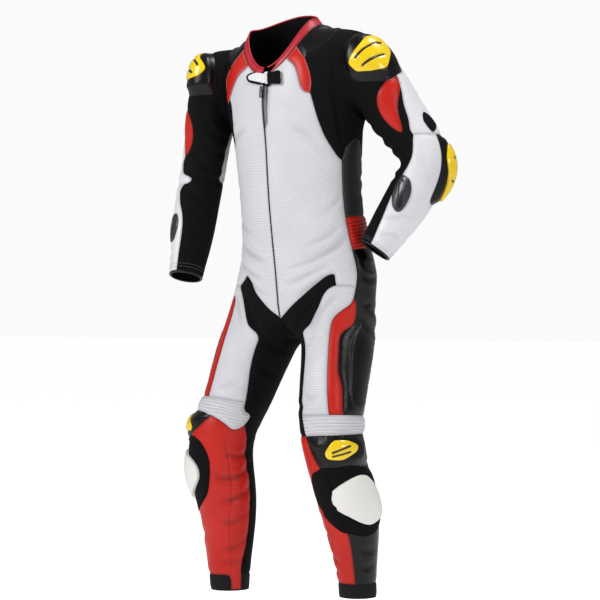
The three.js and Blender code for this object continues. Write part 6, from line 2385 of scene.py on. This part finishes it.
THIGH_GUARD = ((1.6, 9.0), (3.2, 8.6), (4.8, 7.9), (6.9, 7.8), (8.5, 8.1), (8.6, 9.8), (6.8, 10.6),
    (3.4, 11.2), (1.8, 10.8))
PADS = [
    Pad(L, THIGH_GUARD, 3.2, 4),
    Pad(S, ((1.35, 3.0), (1.5, 1.4), (2.1, -0.4), (3.0, -1.3), (3.9, -0.6), (4.0, 1.0), (3.3, 2.6),
        (2.2, 3.5)), 3.5, 9),
    Pad(L, ((10.15, 2.4), (10.1, 8.2), (11.5, 8.0), (11.6, 2.0)), 3.0, 8),
    Pad(L, ((12.0, 1.4), (12.0, 8.6), (13.2, 10.2), (15.2, 9.8), (15.5, 6.0), (14.6, 2.0),
        (13.2, 0.4)), 3.0, 7, ("left",)),
]

SHOULDER_PLATE = ((1.95, 3.0), (2.3, 1.6), (2.35, 0.2), (2.75, -0.8), (3.5, -0.3), (3.85, 1.1),
    (3.4, 2.3), (2.7, 3.1))
ELBOW_PLATE = ((7.5, 17.2), (8.1, 17.6), (9.0, 16.8), (9.7, 16.4), (9.6, 15.2), (8.7, 14.5),
    (7.8, 14.8), (7.4, 15.8))
KNEE_PLATE = ((10.85, 3.0), (10.25, 4.8), (10.3, 6.7), (10.6, 7.7), (10.95, 7.3), (11.3, 5.2),
    (11.2, 3.1))
SLIDER = ((12.35, 7.0), (12.7, 3.6), (13.2, 1.7), (13.8, 1.4), (14.4, 2.9), (15.1, 5.8),
    (15.2, 7.4), (14.8, 9.0), (13.9, 9.0), (12.9, 8.3))
SLIDER_BASE = {
    "left": ((11.75, 6.5), (11.75, 3.4), (11.85, 0.8), (12.0, -0.8), (12.5, -1.9), (13.3, -2.2),
        (14.1, -1.9), (14.9, -0.8),
             (15.5, 1.2), (15.8, 3.6), (15.9, 7.6), (15.1, 10.2), (13.8, 10.3), (12.3, 9.0)),
    "right": ((11.75, 8.0), (11.5, 5.2), (12.0, 3.0), (12.9, 1.6), (14.0, 1.6), (14.9, 2.8),
        (15.6, 6.2), (15.8, 9.2), (15.1, 11.8), (13.8, 11.9), (12.3, 10.6)),
}
VENT = {"left": ((9.35, 4.6), (9.5, 3.4), (10.1, 2.5), (10.9, 2.3), (11.2, 2.8), (11.0, 3.8),
    (10.3, 4.8), (9.7, 5.1)),
        "right": ((10.4, 3.3), (10.6, 2.3), (11.3, 1.8), (12.0, 2.0), (12.2, 2.7), (12.0, 3.5),
            (11.3, 4.0), (10.7, 3.9))}
VENT_SLOT = {"left": ((9.75, 4.2, 10.85, 2.9, 6.0),), "right": ((10.85, 3.1, 11.8, 2.8, 6.0),)}


def shifted(outline: tuple, columns: float) -> tuple:
    """An outline turned round its tube by some columns."""
    return tuple((row, column + columns) for row, column in outline)


def cornered(outline: tuple, share: float = 0.2) -> tuple:
    """An outline with two points close to each corner, so that its corners stay crisp."""
    near = []
    for before, here, after in zip(outline[-1:] + outline[:-1], outline, outline[1:] + outline[:1]):
        near += [tuple(h + share * (o - h) for h, o in zip(here, other)) for other in (before,
            after)]
    return tuple(near)


def moved_slots(slots: tuple, columns: float) -> tuple:
    """Slots turned round their tube by some columns."""
    return tuple((r0, c0 + columns, r1, c1 + columns, half) for r0, c0, r1, c1, half in slots)


def mouldings() -> list[Moulding]:
    """Every moulding of the suit, for both sides."""
    made = []
    for side in SIDES:
        right = side == "right"
        arm, knee, plate = (-0.8, 2.2, 3.0) if right else (0, 0, 0)
        shoulder_slots = ((2.45, 2.3, 3.0, -0.1, 3.4), (2.95, 2.4, 3.45, 0.6, 3.4))
        made.append(Moulding(f"shoulder_plate_{side}_moulding", S, side,
            shifted(cornered(SHOULDER_PLATE), arm), YELLOW, "yellow_plastic",
                             f"shoulder_plate_{side}", 3.4, 4.0, 2.4,
                                 slots=moved_slots(shoulder_slots, arm)))
        elbow_slots = ((8.0, 16.9, 8.1, 15.3, 3.0), (8.8, 16.6, 8.8, 15.0, 3.0))
        made.append(Moulding(f"elbow_plate_{side}_moulding", S, side, cornered(ELBOW_PLATE), YELLOW,
            "yellow_plastic",
                             f"elbow_plate_{side}", 5.0, 11.0, 2.6, slots=elbow_slots))
        knee_slots = ((10.6, 6.6, 10.85, 4.2, 3.0), (10.9, 6.4, 11.05, 4.0, 2.6))
        made.append(Moulding(f"knee_plate_{side}_moulding", L, side,
            shifted(cornered(KNEE_PLATE), plate), YELLOW, "yellow_plastic",
                             f"knee_plate_{side}", 3.4, 4.0, 2.2,
                                 slots=moved_slots(knee_slots, plate)))
        made.append(Moulding(f"slider_base_{side}", L, side, SLIDER_BASE[side], CLOTH,
            "black_leather",
                             "", 1.8, 1.2, 1.2))
        made.append(Moulding(f"knee_slider_{side}_moulding", L, side, shifted(SLIDER, knee), PUCK,
            "slider_plastic",
                             f"knee_slider_{side}", 9.0, 6.0, 4.0, lift=3.2))
        made.append(Moulding(f"forearm_vent_{side}_moulding", S, side, VENT[side], VENT_DARK,
            "black_plastic",
                             f"forearm_vent_{side}", 2.6, 2.4, 1.8, slots=VENT_SLOT[side],
                                 depth=3.2))
    made.append(Moulding("throat_tab_strap", T, "left", ((3.2, -2.35), (2.75, -2.1), (2.3, -1.6),
        (1.95, -0.6), (1.95, 0.3), (2.4, 1.15), (3.3, 1.25), (4.15, 1.15), (3.85, 0.4),
            (3.55, -0.3), (3.45, -1.3), (3.5, -2.0)),
                         WHITE_PLAIN, "white_leather", "throat_tab", 2.6, 0.6, 1.2, lift=7.0))
    made.append(Moulding("throat_tab_patch", T, "left", ((2.35, 1.1), (2.85, 1.85), (3.45, 2.65),
        (4.3, 2.5), (5.1, 2.25), (4.7, 1.7), (4.25, 1.1), (3.3, 1.05)),
                         CLOTH, "stretch_fabric", "", 3.4, 0.2, 1.0, lift=7.0))
    made.append(Moulding("throat_tab_backing", T, "left", ((3.3, -2.75), (2.6, -2.45), (2.05, -1.7),
        (1.7, -0.6), (1.7, 0.3), (2.25, 1.3), (3.3, 1.5), (4.45, 1.15), (4.15, 0.4), (3.85, -0.3),
            (3.75, -1.3), (3.8, -2.2)),
                         CLOTH, "stretch_fabric", "", 2.6, 0.2, 0.7, lift=4.4))
    made.append(Moulding("sleeve_grip_left", S, "left", ((5.9, 0.1), (6.3, 0.9), (6.9, 0.5), (6.5,
        -0.9)), CLOTH, "stretch_fabric", "", 1.6, 1.2, 0.8))
    return made


def main() -> None:
    """Builds the suit, its mouldings, its zip and stitches, and the studio."""
    logging.basicConfig(level=logging.INFO, format="%(message)s")
    skin = Skin(Net())
    for seam in SEAMS:
        skin.paint(seam)
    skin.settle_seams()
    skin.relief({name: kind.puff for name, kind in PANELS.items()}, CREASES, PADS)
    shop = Workshop()
    Panels(skin, shop).build()
    Mouldings(skin, shop).build(mouldings())
    Edges(skin, shop).build()
    Stitching(skin, shop).build()
    FrontZip(skin, shop).build()
    Studio().build()


if __name__ == "__main__":
    main()
